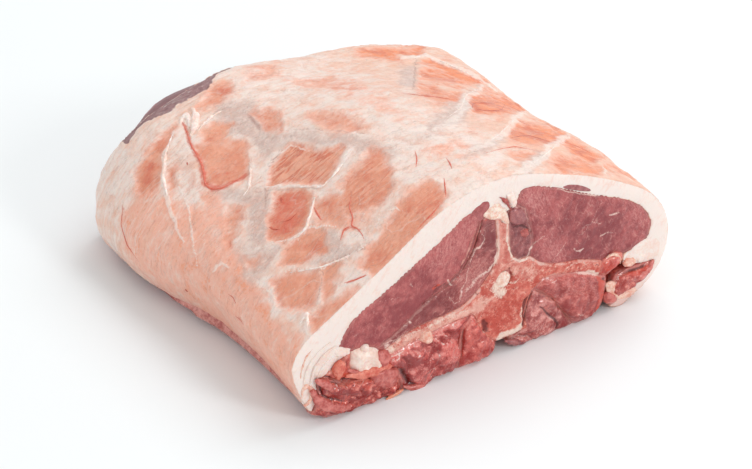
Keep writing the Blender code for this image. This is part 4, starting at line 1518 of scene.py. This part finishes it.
@dataclass
class CutPiece:
    """A long piece that shows at the sawn face and at the far end."""

    camera: PhotoCamera = PhotoCamera()
    voxel: float = 0.5
    swell_along: float = 0.4
    corner: float = 1.6
    cut_depth: float = 4.0
    ends: Ends = Ends()

    def sculpt(self, name: str, node: str, rounding: int = 3, swell: float = 0.6) -> Sculpture:
        """Lay a fine mesh over the node and read its outline and the marks on its cut.

        Args:
            name: The new piece's name.
            node: The CAD node.
            rounding: Rounds of smoothing, which wear the corners.
            swell: How far it swells in millimetres, so that neighbours meet.

        Returns:
            The sculpture.
        """
        piece = Sculpture.over_node(name, node, self.voxel, self.ends)
        piece.relax(rounding, 0.5)
        piece.push(swell, (1.0, self.swell_along, 1.0))
        if rounding < 10:
            piece.squared(self.corner)
        normals = piece.normals()
        at_near = piece.points[:, 1] < SAWN_Y + self.cut_depth
        at_far = piece.points[:, 1] > FAR_Y - self.cut_depth
        piece.layers["rim"] = self.rim_distance(piece, node, at_near, at_far)
        near_cut = smoothstep(-normals[:, 1], 0.3, 0.7) * at_near
        far_cut = smoothstep(normals[:, 1], 0.3, 0.7) * at_far
        piece.layers["cut"] = np.maximum(near_cut, far_cut)
        pixels = wavered(self.camera.project(piece.points), piece.points, {5.0: 1.4, 1.6: 0.8})
        covered = marked(pixels, CUT_MARKS)
        for mark in CUT_MARKS:
            piece.layers[mark.value] = covered[mark] * near_cut
        upward = smoothstep(normals[:, 2], -0.2, 0.3)
        piece.layers["outside"] = (1.0 - piece.layers["cut"]) * upward * (piece.points[:, 1] > 40.0)
        return piece

    @staticmethod
    def carved(piece: Sculpture) -> np.ndarray:
        """Height in millimetres that the marks give each vertex."""
        layers = piece.layers
        return 1.3 * layers["raised"] - 1.5 * layers["sunk"] - 1.1 * layers["dark"] + 0.15 * layers["pale"]

    @staticmethod
    def rim_distance(piece: Sculpture, node: str, at_near: np.ndarray, at_far: np.ndarray) -> np.ndarray:
        """Measure how far each vertex of a cut lies from the node's outline in that cut.

        Args:
            piece: The sculpture.
            node: The CAD node.
            at_near: Which vertices are near the sawn end.
            at_far: Which are near the far end.

        Returns:
            The distance of each vertex in millimetres.
        """
        shape = bmesh.new()
        shape.from_mesh(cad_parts[node].data)
        bmesh.ops.remove_doubles(shape, verts=shape.verts, dist=1e-6)
        far_away, on_plane = 30.0, 0.05
        rim = np.full(len(piece.points), far_away)
        for plane, chosen in ((SAWN_Y, at_near), (FAR_Y, at_far)):
            places = piece.points[chosen][:, (0, 2)]
            best = np.full(len(places), far_away)
            for edge in shape.edges:
                first, second = (vertex.co / MM for vertex in edge.verts)
                if max(abs(first.y - plane), abs(second.y - plane)) < on_plane:
                    reach, _ = distance_to_line(places, np.array([first.xz, second.xz]))
                    best = np.minimum(best, reach)
            rim[chosen] = best
        shape.free()
        return rim


@dataclass
class Lean(CutPiece):
    """All the muscles of the saddle."""

    muscles: tuple[Muscle, ...] = MUSCLES
    rim_drop: float = 0.35
    bend: float = 1.6
    bend_size: float = 5.0
    grain_size: float = 1.2
    speckle_size: float = 0.9
    worn_size: float = 3.5
    worn_reach: float = 6.0

    def build(self) -> list[bpy.types.Object]:
        """Model and dress every muscle."""
        return [self.build_one(muscle, number) for number, muscle in enumerate(self.muscles)]

    def build_one(self, muscle: Muscle, number: int) -> bpy.types.Object:
        """Model one muscle: flatten or swell its cut, then give it lumps, grain and seams.

        Args:
            muscle: The muscle.
            number: Its place in the list, which shifts its noise.

        Returns:
            The finished piece.
        """
        piece = self.sculpt("meat_" + muscle.node, muscle.node, muscle.rounding)
        points, layers = piece.points, piece.layers
        near = layers["cut"] * (points[:, 1] < 0.0)
        over = np.maximum(SAWN_Y - 0.3 - points[:, 1], 0.0)
        points[:, 1] += over * muscle.flatten * near
        inside = smoothstep(layers["rim"], 0.3, 2.6)
        turn = math.radians(muscle.finish.grain_deg)
        across = points[:, 0] * math.cos(turn) + points[:, 2] * math.sin(turn)
        along = points[:, 2] * math.cos(turn) - points[:, 0] * math.sin(turn)
        grain = np.stack([across, points[:, 1] * 0.3, along], 1)
        seed = 3.7 * number
        bends = [self.bend * noise_at(points, self.bend_size, seed + 20.0 * axis) for axis in range(3)]
        bent = points + np.stack(bends, 1)
        folds = np.abs(noise_at(bent, muscle.lump_size, seed, (1, 2, 1)))
        small = np.abs(noise_at(bent, muscle.lump_size * 0.4, seed + 9.0, (1, 2, 1)))
        lumps = 2.3 * folds + 0.75 * small - 0.75
        # The valleys between the lumps, which the finish paints dark as shade, as strongly as creased says
        hollow = np.maximum(1.0 - smoothstep(folds, 0.0, 0.09), 0.5 - 0.5 * smoothstep(small, 0.0, 0.12))
        layers["hollow"] = hollow * muscle.creased * layers["cut"]
        longer = (1, 1, muscle.finish.grain_stretch)
        height = (
            muscle.lump_mm * lumps * (0.35 + 0.65 * inside)
            + muscle.grain_mm * noise_at(grain, self.grain_size, seed, longer) * inside
            + muscle.grain_mm * 0.6 * noise_at(points, self.speckle_size, seed)
            - self.rim_drop * (muscle.creased < 1.0) * (1.0 - smoothstep(layers["rim"], 0.2, 1.6))
        )
        cut = layers["cut"]
        near_end = (points[:, 1] < SAWN_Y + self.worn_reach) * (1.0 - cut)
        worn = 0.5 * muscle.lump_mm * noise_at(points, self.worn_size, seed + 4.0) * near_end
        piece.push(height * cut + worn + self.carved(piece))
        piece.relax(1, 0.2)
        # How far each cut vertex faces up, which the finish uses for painted light and painted glints
        layers["upward"] = smoothstep(piece.normals()[:, 2], -0.1, 0.8) * near
        return piece.done(muscle.finish.material(), muscle.slot, muscle.node)


@dataclass
class Backbone(CutPiece):
    """The sawn backbone and the cord in its canal."""

    node: str = "backbone"
    cord_node: str = "spinal_cord"
    pore_depth: float = 0.35
    lump_height: float = 0.35
    grit_height: float = 0.3
    rim_lift: float = 0.15

    def build(self) -> list[bpy.types.Object]:
        """Model and dress the bone and the cord.

        Returns:
            The two pieces.
        """
        bone = self.sculpt("sawn_backbone", self.node)
        points, layers = bone.points, bone.layers
        inside = smoothstep(layers["rim"], 0.4, 1.6)
        height = (
            self.lump_height * noise_at(points, 5.0, 2.0) * inside
            + self.grit_height * noise_at(points, 1.9, 5.0) * inside
            - self.pore_depth * smoothstep(noise_at(points, 1.4, 11.0), 0.25, 0.5) * inside
            + self.rim_lift * (1.0 - inside)
        )
        bone.push(height * layers["cut"] + self.carved(bone))
        bone.relax(1, 0.2)
        made = [bone.done(BoneFinish().material(), "bone", self.node)]

        cord = self.sculpt("cord_in_canal", self.cord_node, swell=0.2)
        cord.push(0.3 * noise_at(cord.points, 2.0, 3.0) * cord.layers["cut"])
        finish = plain("cord_white", (244, 230, 216), (224, 172, 152), 1.8)
        made.append(cord.done(finish.material(), "cord", self.cord_node))
        return made


@dataclass
class SeamFat(CutPiece):
    """The lump of fat between the muscles on the left of the cut face."""

    node: str = "seam_fat_left"
    bulge: float = 2.2
    crest: float = 2.2
    small_crest: float = 0.6

    def build(self) -> list[bpy.types.Object]:
        """Model and dress the lump.

        Returns:
            The one piece.
        """
        lump = self.sculpt("fat_lump_left", self.node, 12)
        points, layers = lump.points, lump.layers
        near = layers["cut"] * (points[:, 1] < 0.0)
        inside = smoothstep(layers["rim"], 0.0, 3.0)
        crests = self.crest * np.abs(noise_at(points, 5.5, 4.0))
        crests += self.small_crest * np.abs(noise_at(points, 2.4, 6.0))
        lump.push(near * inside * (self.bulge - crests))
        lump.layers = {name: layers[name] for name in ("rim", "cut", "dark", "bright", "pale")}
        finish = plain("fat_lump", (248, 234, 222), (230, 190, 174), 5.0, 0.4, 0.4, 0.25)
        return [lump.done(finish.material(), "fat", self.node)]


@dataclass
class Connective(CutPiece):
    """The thin tissue that fills the seams, a little below the cut faces."""

    nodes: tuple[str, ...] = ("backbone", "spinal_cord", "seam_fat_left", *(m.node for m in MUSCLES))
    closing: float = 0.7
    node_voxel: float = 1.2
    joined_voxel: float = 1.0
    drawn_in: float = 0.25
    far_drawn: float = 1.2
    sunk: float = 0.7

    def build(self) -> bpy.types.Object:
        """Join all the inner pieces, close their gaps and draw the whole in.

        Returns:
            The finished tissue.
        """
        joined = bmesh.new()
        for node in self.nodes:
            part = Sculpture.over_node("closing", node, self.node_voxel, self.ends)
            part.points[:, 1] = np.interp(part.points[:, 1], *self.ends.knots())
            part.push(self.closing)
            part.normals()
            joined.from_mesh(part.mesh)
            bpy.data.meshes.remove(part.mesh)
        mesh = bpy.data.meshes.new("seam_tissue")
        joined.to_mesh(mesh)
        joined.free()
        tissue = Sculpture("seam_tissue", even_mesh("seam_tissue", mesh, self.joined_voxel))
        tissue.push(-self.drawn_in, (1.0, 0.0, 1.0))
        tissue.points[:, 1] = self.ends.stretched(tissue.points[:, 1])
        tissue.push(-self.far_drawn * (tissue.points[:, 1] > 0.0), (1.0, 0.0, 1.0))
        tissue.points[:, 1] = np.clip(tissue.points[:, 1], SAWN_Y + self.sunk, FAR_Y - 1.0 - self.sunk)
        finish = plain("seam_flesh", (216, 150, 138), (170, 84, 78), 2.5, 0.4, 0.3)
        return tissue.done(finish.material(), "lean_red")


class Tissue(Enum):
    """What a lump on the cut face is made of: its slot and its finish."""

    GRISTLE = ("fat", plain("tissue_gristle", (243, 228, 214), (228, 172, 150), 1.8, 0.42, 0.35))
    FAT = ("fat", plain("tissue_fat", (243, 228, 218), (234, 200, 187), 3.2, 0.42, 0.35))
    RIM = ("fat", plain("tissue_rim", (238, 223, 215), (235, 204, 190), 3.2, 0.44, 0.35, 0.1))
    LOIN = ("lean", plain("tissue_loin", (178, 94, 92), (146, 62, 64), 1.8, 0.4, 0.3))
    SALMON = ("lean_bright", plain("tissue_salmon", (228, 136, 114), (198, 84, 68), 2.6, 0.34, 0.35, 0.5))
    BLUSHED = ("fat", plain("tissue_blushed", (242, 208, 190), (222, 146, 124), 2.4, 0.4, 0.35))
    ORANGE = ("fat", plain("tissue_orange", (236, 170, 138), (218, 116, 88), 2.2, 0.38, 0.35))
    RED = ("lean_red", plain("tissue_red", (190, 92, 84), (142, 48, 46), 1.8, 0.34, 0.4, 0.5))
    PINK = ("lean_red", plain("tissue_pink", (214, 122, 112), (172, 72, 66), 2.8, 0.32, 0.3, 0.6))
    DUSKY = ("lean_dark", plain("tissue_dusky", (176, 106, 104), (134, 64, 68), 1.8, 0.38, 0.3))


@dataclass(frozen=True)
class Morsel:
    """A small lump on the sawn face: its outline, how far it stands out, and its slot if not the tissue's."""

    corners: str
    tissue: Tissue
    proud: float = 1.5
    rough: float = 0.5
    slot: str = ""


MORSELS = {
    "loin_tip": Morsel("470,216 476,208 483,202 489,201 491,206 487,213 482,221 475,222", Tissue.LOIN, 0.5,
        0.15),
    "lump_cover": Morsel("376,366 375,358 380,352 389,351 393,358 390,366 382,369", Tissue.PINK, 2.2, 0.5),
    "gristle_cap": Morsel("483,216 486,210 492,207 499,204 506,209 509,217 511,225 506,225 502,220 494,219 "
        "488,220", Tissue.GRISTLE, 1.3, 0.7),
    "round_bundle": Morsel("510,217 511,211 516,208 522,208 526,212 527,219 523,225 516,226 511,223",
        Tissue.DUSKY, 1.7, 0.3),
    "spine_nub": Morsel("506,195 513,193 517,199 517,207 513,209 509,202", Tissue.FAT, 1.4),
    "under_bundle": Morsel("519,232 523,229 528,230 530,235 526,238 520,237", Tissue.RED, 1.3, 0.4),
    "top_lens": Morsel("560,188 567,185 577,184.5 587,187 595,192 583,191.5 570,190", Tissue.DUSKY, 0.7,
        0.15, slot="lean_red"),
    "rim_mass": Morsel("621,265 627,256 634,247 643,240 655,237 663,242 662,252 655,259 646,262 635,264",
        Tissue.RIM, 0.5, 0.3),
    "rim_crumb_one": Morsel("623,264 627,258 634,257 637,262 631,267 625,267", Tissue.BLUSHED, 1.3, 0.4),
    "rim_crumb_two": Morsel("636,258 641,253 646,255 644,261 638,263", Tissue.RIM, 1.3, 0.3),
    "pale_lump_right": Morsel("606,285 612,281 622,283 633,285 638,290 631,297 619,301 609,298",
        Tissue.BLUSHED, 1.4, 0.5),
    "low_lump_right": Morsel("604,296 609,292 615,295 618,300 612,305 605,303", Tissue.PINK, 1.8, 0.5),
    "rim_foot": Morsel("314,378 315,366 322,354 332,347 340,347 342,354 337,361 331,367 327,374 320,379",
        Tissue.RIM, 0.7, 0.2),
    "rim_nub": Morsel("333,353 337,348 344,346.5 352,349 351,354 343,356 336,357", Tissue.RIM, 1.5, 0.9),
    "lump_spike": Morsel("361,350 364,345 369,345 370,352 365,356", Tissue.FAT, 1.8, 0.4),
    "lump_side": Morsel("372,362 377,359 381,362 378,367 373,368", Tissue.BLUSHED, 1.8, 0.4),
    "flank_swell": Morsel("369,377 375,369 386,365 397,368 401,377 397,387 386,391 374,388", Tissue.PINK,
        3.4, 0.8),
    "undercut_nub": Morsel("407,377 411,373 418,373 421,378 418,382 411,381", Tissue.PINK, 3.2, 0.5),
    "rib_nub": Morsel("420,341 423,333 430,330 437,337 434,344 427,345", Tissue.BLUSHED, 2.2, 0.6),
}


@dataclass(frozen=True)
class Roll:
    """A rolled edge of tissue on the sawn face: pixels along it, its radius and how far it stands out."""

    pixels: str
    tissue: Tissue
    radius: float = 1.2
    proud: float = 1.0
    rough: float = 0.4


ROLLS = {
    "flank_lip": Roll("312,390 315,397 321,403 331,407 342,408 352,406", Tissue.PINK, 2.3, 1.4),
    "flank_flap": Roll("316,380 322,383 330,387 336,392", Tissue.PINK, 1.8, 1.4),
    "orange_column": Roll("343,361 339,366 337,373 338,379", Tissue.SALMON, 2.6, 1.2),
    "orange_shelf": Roll("345,376 356,374.5 368,373 380,368 392,365", Tissue.SALMON, 2.1, 1.4),
    "shelf_upper": Roll("347,370 354,372 362,372", Tissue.PINK, 1.0, 1.2),
    "flank_edge": Roll("386,400 394,394 404,389", Tissue.ORANGE, 1.0, 2.0),
    "rim_fibre_one": Roll("303,392 304,378 309,365 318,353 331,342", Tissue.RIM, 0.7, 0.3, 0.2),
    "rim_fibre_two": Roll("310,384 313,372 319,361 328,351 337,346", Tissue.RIM, 0.8, 0.5, 0.2),
    "rim_fibre_three": Roll("317,379 321,369 328,360 338,353", Tissue.RIM, 0.7, 0.5, 0.2),
    "rim_fibre_four": Roll("300,384 301,370 306,357 316,345", Tissue.BLUSHED, 0.5, 0.2, 0.2),
    "bundle_flap": Roll("499,197 504,199 508,204 511,210", Tissue.RED, 0.8, 0.4),
    "tip_curl": Roll("302,398 302,390 306,385 311,388 312,395 309,403 304,406", Tissue.BLUSHED, 1.0, 0.4),
    "curl_rim": Roll("606,258 611,254.5 617,254 620.5,258 620,264", Tissue.BLUSHED, 0.7, 1.0),
    "hollow_lip": Roll("618,279 628,280 639,276 648,269 653,260", Tissue.PINK, 1.9, 0.8),
    "undercut_lip": Roll("403,386 410,388 420,386 428,381", Tissue.PINK, 1.5, 1.6),
    "undercut_fold": Roll("408,356 414,366 420,370", Tissue.RED, 1.5, 1.4),
    "psoas_lip": Roll("504,341 514,342 526,342", Tissue.DUSKY, 1.4, 0.6),
}


def smooth_line(pixels: str, step: float) -> np.ndarray:
    """Draw a smooth line through pixels.

    Args:
        pixels: The pixels.
        step: How far apart its points lie.

    Returns:
        Evenly spaced rows (x, y).
    """
    line = rows(pixels)
    along = np.concatenate([[0.0], np.cumsum(np.linalg.norm(np.diff(line, axis=0), axis=1))])
    wanted = np.linspace(0.0, along[-1], max(4, int(along[-1] / step)))
    smooth = np.stack([np.interp(wanted, along, line[:, axis]) for axis in (0, 1)], 1)
    for _ in range(2):
        smooth[1:-1] = (smooth[:-2] + 2.0 * smooth[1:-1] + smooth[2:]) / 4.0
    return smooth


def tube_mesh(name: str, paths: list[tuple[list[Vector], float]], sides: int = 3) -> bpy.types.Mesh:
    """Lay tubes along paths, thinner at their ends.

    Args:
        name: The mesh's name.
        paths: Each path in metres, with its widest radius in millimetres.
        sides: How round the tubes are.

    Returns:
        All the tubes as one mesh.
    """
    curve = bpy.data.curves.new(name, "CURVE")
    curve.dimensions = "3D"
    curve.bevel_depth = MM
    curve.bevel_resolution = sides
    curve.use_fill_caps = True
    for path, radius in paths:
        spline = curve.splines.new("POLY")
        spline.points.add(len(path) - 1)
        for number, (point, place) in enumerate(zip(spline.points, path)):
            share = min(max(number / (len(path) - 1), 0.04), 0.96)
            wobble = 1.0 + 0.3 * noise.noise(place / (3.0 * MM))
            point.radius = radius * wobble * (0.35 + 0.65 * math.sin(math.pi * share))
            point.co = (*place, 1.0)
    return baked(put(name, curve))


@dataclass
class Morsels:
    """All the small lumps, each shaped from a ball."""

    camera: PhotoCamera = PhotoCamera()
    ball_cuts: int = 5
    buried: float = 2.2
    flatness: float = 0.75
    roll_voxel: float = 0.35

    def build(self) -> list[bpy.types.Object]:
        """Model every lump.

        Returns:
            The lumps, then the rolled edges.
        """
        finishes = {tissue: tissue.value[1].material() for tissue in Tissue}
        lumps = [self.shape(name, morsel, finishes[morsel.tissue], float(number))
                 for number, (name, morsel) in enumerate(MORSELS.items())]
        rolls = [self.roll(name, roll, finishes[roll.tissue], float(number))
                 for number, (name, roll) in enumerate(ROLLS.items())]
        return lumps + rolls

    def roll(self, name: str, roll: Roll, material: bpy.types.Material, seed: float) -> bpy.types.Object:
        """Shape one rolled edge.

        Args:
            name: Its name.
            roll: Where it lies.
            material: Its finish.
            seed: Shifts its noise.

        Returns:
            The finished piece.
        """
        plane = SAWN_Y - roll.proud
        places = self.section(smooth_line(roll.pixels, 2.0), plane)
        path = [Vector((x, plane, z)) * MM for x, z in places]
        tube = tube_mesh(name, [(path, roll.radius)])
        piece = Sculpture(name, even_mesh(name, tube, self.roll_voxel))
        piece.relax(2, 0.5)
        lumps = noise_at(piece.points, 3.0, seed) + 0.5 * noise_at(piece.points, 1.2, seed + 5.0)
        piece.push(roll.rough * lumps)
        return piece.done(material, roll.tissue.value[0])

    def section(self, pixels: np.ndarray, plane: float) -> np.ndarray:
        """Find where pixels fall on a plane across the spine.

        Args:
            pixels: One row for each pixel.
            plane: Where the plane lies along the spine.

        Returns:
            One row (x, z) for each pixel.
        """
        eye = np.array(self.camera.place)
        ways = (np.array(self.camera.ray(pixel)) for pixel in pixels)
        return np.array([(eye + way * ((plane - eye[1]) / way[1]))[[0, 2]] for way in ways])

    def shape(self, name: str, morsel: Morsel, material: bpy.types.Material, seed: float) -> bpy.types.Object:
        """Shape one lump: a ball drawn out to the outline, roughened by noise.

        Args:
            name: Its name.
            morsel: Its outline.
            material: Its finish.
            seed: Shifts its noise.

        Returns:
            The finished piece.
        """
        outline = self.section(rows(morsel.corners), SAWN_Y - morsel.proud * 0.5)
        middle = outline.mean(0)
        sides = zip(outline, np.roll(outline, -1, axis=0))
        dense = np.concatenate([np.linspace(start, end, 12, endpoint=False) for start, end in sides]) - middle
        angles = np.arctan2(dense[:, 1], dense[:, 0])
        order = np.argsort(angles)
        reaches = np.linalg.norm(dense, axis=1)[order]
        shape = bmesh.new()
        bmesh.ops.create_icosphere(shape, subdivisions=self.ball_cuts, radius=1.0)
        mesh = bpy.data.meshes.new(name)
        shape.to_mesh(mesh)
        shape.free()
        ball = Sculpture(name, mesh)
        unit = ball.points * MM
        share = np.minimum(np.linalg.norm(unit[:, (0, 2)], axis=1), 1.0)
        turn = np.arctan2(unit[:, 2], unit[:, 0])
        reach = np.interp(turn, angles[order], reaches, period=2.0 * math.pi)
        flat = reach * share ** self.flatness / np.maximum(share, 1e-6)
        front = unit[:, 1] < 0.0
        ball.points[:, 0] = middle[0] + unit[:, 0] * flat
        ball.points[:, 2] = middle[1] + unit[:, 2] * flat
        ball.points[:, 1] = SAWN_Y + unit[:, 1] * np.where(front, morsel.proud, self.buried)
        ball.relax(3, 0.5)
        lumps = 1.2 * noise_at(ball.points, 4.0, seed) + 0.4 * noise_at(ball.points, 1.6, seed + 5.0)
        ball.push(morsel.rough * lumps * min(1.0, reaches.mean() / 2.5))
        return ball.done(material, morsel.slot or morsel.tissue.value[0])


class Thread(Enum):
    """What a thread on the fat is: the piece's name, its slot and its finish."""

    FRESH = ("vessels_red", "lean_bright", plain("vessel_red", (222, 122, 98), (204, 88, 68), 1.6, 0.4))
    DARK = ("vessels_dark", "lean_bright", plain("vessel_dark", (204, 100, 72), (168, 62, 46), 1.0, 0.4))
    FOLD = ("membrane_folds", "fat", plain("membrane_fold", (248, 236, 229), (236, 204, 190), 4.0, 0.42, 0.3))


@dataclass(frozen=True)
class Vessel:
    """A vessel or fold on the fat, as pixels along it and its widest radius in millimetres."""

    pixels: str
    radius: float


FRESH_VESSELS = {
    "shield_vein": Vessel("182,121 187,133 191,145 197,155 202,165 204,175 205,184 209,188 215,189.5 "
        "225,187 237,180 247,175", 0.5),
    "hook": Vessel("351,196 349,207 353,218 351,226 357,228 362,234 364,239", 0.38),
    "hook_branch": Vessel("351,226 344,229 342,235 340,241", 0.34),
    "beside": Vessel("314,207 317,213 321,220", 0.36),
    "rim_dash": Vessel("344,283 355,280 367,275", 0.38),
    "neck_one": Vessel("415,151 417,158 416,167", 0.26),
    "neck_two": Vessel("446,158 450,163 452,169", 0.28),
    "neck_three": Vessel("444,178 445,187 446,197", 0.28),
    "cut_edge": Vessel("440,204 433,213 424,222 418,229", 0.34),
    "third_low": Vessel("486,153 500,149 515,146.5 528,149 541,152", 0.24),
    "fourth_line": Vessel("565,142 579,147 592,154", 0.24),
    "flank_thread": Vessel("228,294 233,297 236,304", 0.24),
    "flank_thread_two": Vessel("235,316 240,319 244,325", 0.24),
    "far_edge_line": Vessel("123,205 121,225 127,245 139,262", 0.3),
}

DARK_VESSELS = {
    "pocket_dot": Vessel("281,197 282,200 282,203", 0.5),
    "pocket_line": Vessel("283,222 290,220 297,213", 0.26),
    "pocket_low": Vessel("269,227 274,230 280,229", 0.32),
    "back_one": Vessel("401,93 417,95 436,97 457,100", 0.26),
    "box_left": Vessel("472,111 473,103 478,103 497,103", 0.24),
    "box_low": Vessel("474,109 488,111 502,110 505,104", 0.24),
    "third_line": Vessel("510,138 520,136 529,135.5 541,139 554,143", 0.24),
    "speck_one": Vessel("187,162 187.5,165", 0.4),
    "speck_two": Vessel("185,289 188,292", 0.5),
}

FOLDS = {
    "nub": Vessel("193,108 195,114 196,121 194,129 191,136", 1.9),
    "nub_left": Vessel("180,124 182,118 186,114 189,118 189,127", 1.2),
    "nub_long": Vessel("197,133 203,124 214,115 226,108", 0.7),
    "band": Vessel("174,131 166,150 163,176 168,200", 0.8),
    "shield": Vessel("249,162 251,175 249,188 243,196", 0.6),
    "striped": Vessel("296,187 322,187 334,175 345,160 353,149", 0.5),
    "pocket": Vessel("315,197 311,212 307,226 299,236 288,241", 0.6),
    "cross": Vessel("288,273 305,270 322,267 345,258 364,247", 0.5),
    "band_one": Vessel("480,88 466,95 461,108 444,120", 0.34),
    "band_two": Vessel("520,113 508,126 497,136 484,145", 0.34),
    "band_three": Vessel("564,137 553,148 541,158 522,170", 0.34),
    "strip": Vessel("402,59 425,56 445,63 478,78 494,90", 0.45),
    "rim": Vessel("300,324 308,312 307,330", 0.9),
}

VESSELS = {Thread.FRESH: FRESH_VESSELS, Thread.DARK: DARK_VESSELS, Thread.FOLD: FOLDS}


@dataclass
class Vessels:
    """The small vessels, laid on the finished fat as thin tapering tubes."""

    fat: bpy.types.Object
    camera: PhotoCamera = PhotoCamera()
    step_px: float = 1.5
    sink: float = 0.35
    sides: int = 2
    fold_voxel: float = 0.25
    fold_sink: float = 0.2
    fold_rough: float = 0.4
    fold_grain: float = 0.25

    def build(self) -> list[bpy.types.Object]:
        """Lay the vessels and folds, each kind as one piece."""
        tree = BVHTree.FromObject(self.fat, bpy.context.evaluated_depsgraph_get())
        return [self.lay(tree, kind) for kind in Thread]

    def path(self, tree: BVHTree, vessel: Vessel, sink: float) -> list[Vector]:
        """Follow a vessel's pixels on the fat.

        Args:
            tree: The fat's faces.
            vessel: The vessel.
            sink: How much of its radius lies under the skin.

        Returns:
            Points along it in metres.
        """
        eye = Vector(self.camera.place) * MM
        pixels = smooth_line(vessel.pixels, self.step_px)
        hits = (tree.ray_cast(eye, self.camera.ray(pixel)) for pixel in pixels)
        sunk = vessel.radius * sink * MM
        return [place - normal * sunk for place, normal, *_ in hits if place is not None]

    def lay(self, tree: BVHTree, kind: Thread) -> bpy.types.Object:
        """Lay all threads of one kind.

        Args:
            tree: The fat's faces.
            kind: The kind.

        Returns:
            The finished piece.
        """
        name, slot, finish = kind.value
        sink = self.fold_sink if kind is Thread.FOLD else self.sink
        paths = [(self.path(tree, vessel, sink), vessel.radius) for vessel in VESSELS[kind].values()]
        mesh = tube_mesh(name, [pair for pair in paths if len(pair[0]) > 2], self.sides)
        if kind is Thread.FOLD:
            folds = Sculpture(name, even_mesh(name, mesh, self.fold_voxel))
            rough = self.fold_rough * noise_at(folds.points, 2.6, 3.0)
            folds.push(rough + self.fold_grain * noise_at(folds.points, 1.1, 7.0))
            folds.relax(2, 0.5)
            return folds.done(finish.material(), slot)
        mesh.shade_smooth()
        return add_piece(name, mesh, finish.material(), slot)


@dataclass(frozen=True)
class Lamp:
    """A square area light over the meat: its power, its width and its place in metres."""

    energy: float
    size: float
    place: Triple
    aim: Triple = (0.0, 0.0, 0.03)

    def add(self, name: str) -> None:
        """Put the light in the scene, turned to the meat.

        Args:
            name: Its name.
        """
        data = bpy.data.lights.new(name, "AREA")
        data.energy = self.energy
        data.size = self.size
        light = put(name, data)
        light.location = self.place
        way = Vector(self.aim) - Vector(self.place)
        light.rotation_euler = way.to_track_quat("-Z", "Y").to_euler()


LAMPS = {
    "key_light": Lamp(8.5, 1.1, (0.75, 0.15, 1.25)),
    "front_light": Lamp(5.2, 0.3, (0.35, -1.25, 0.75)),
    "side_light": Lamp(1.5, 1.2, (-1.4, 0.1, 0.6)),
}


@dataclass
class Studio:
    """Plain pale floor and soft light."""

    floor_half: float = 3.0
    world_strength: float = 0.76

    def build(self) -> None:
        """Add the floor, the lights and the world."""
        shape = bmesh.new()
        bmesh.ops.create_grid(shape, x_segments=2, y_segments=2, size=self.floor_half)
        mesh = bpy.data.meshes.new("floor")
        shape.to_mesh(mesh)
        shape.free()
        mesh.materials.append(FloorFinish().material())
        put("floor", mesh)
        for name, lamp in LAMPS.items():
            lamp.add(name)
        world = bpy.data.worlds.new("studio")
        world.use_nodes = True
        background = world.node_tree.nodes["Background"]
        background.inputs["Color"].default_value = (1.0, 1.0, 1.0, 1.0)
        background.inputs["Strength"].default_value = self.world_strength
        bpy.context.scene.world = world
        bpy.context.scene.view_settings.view_transform = "Standard"


def main() -> None:
    """Build every sub-assembly in order."""
    logging.basicConfig(level=logging.INFO, format="%(message)s")
    PhotoCamera().add()
    Studio().build()
    fat = FatCover().build()
    Lean().build()
    Backbone().build()
    SeamFat().build()
    Connective().build()
    Morsels().build()
    Vessels(fat).build()


if __name__ == "__main__":
    main()
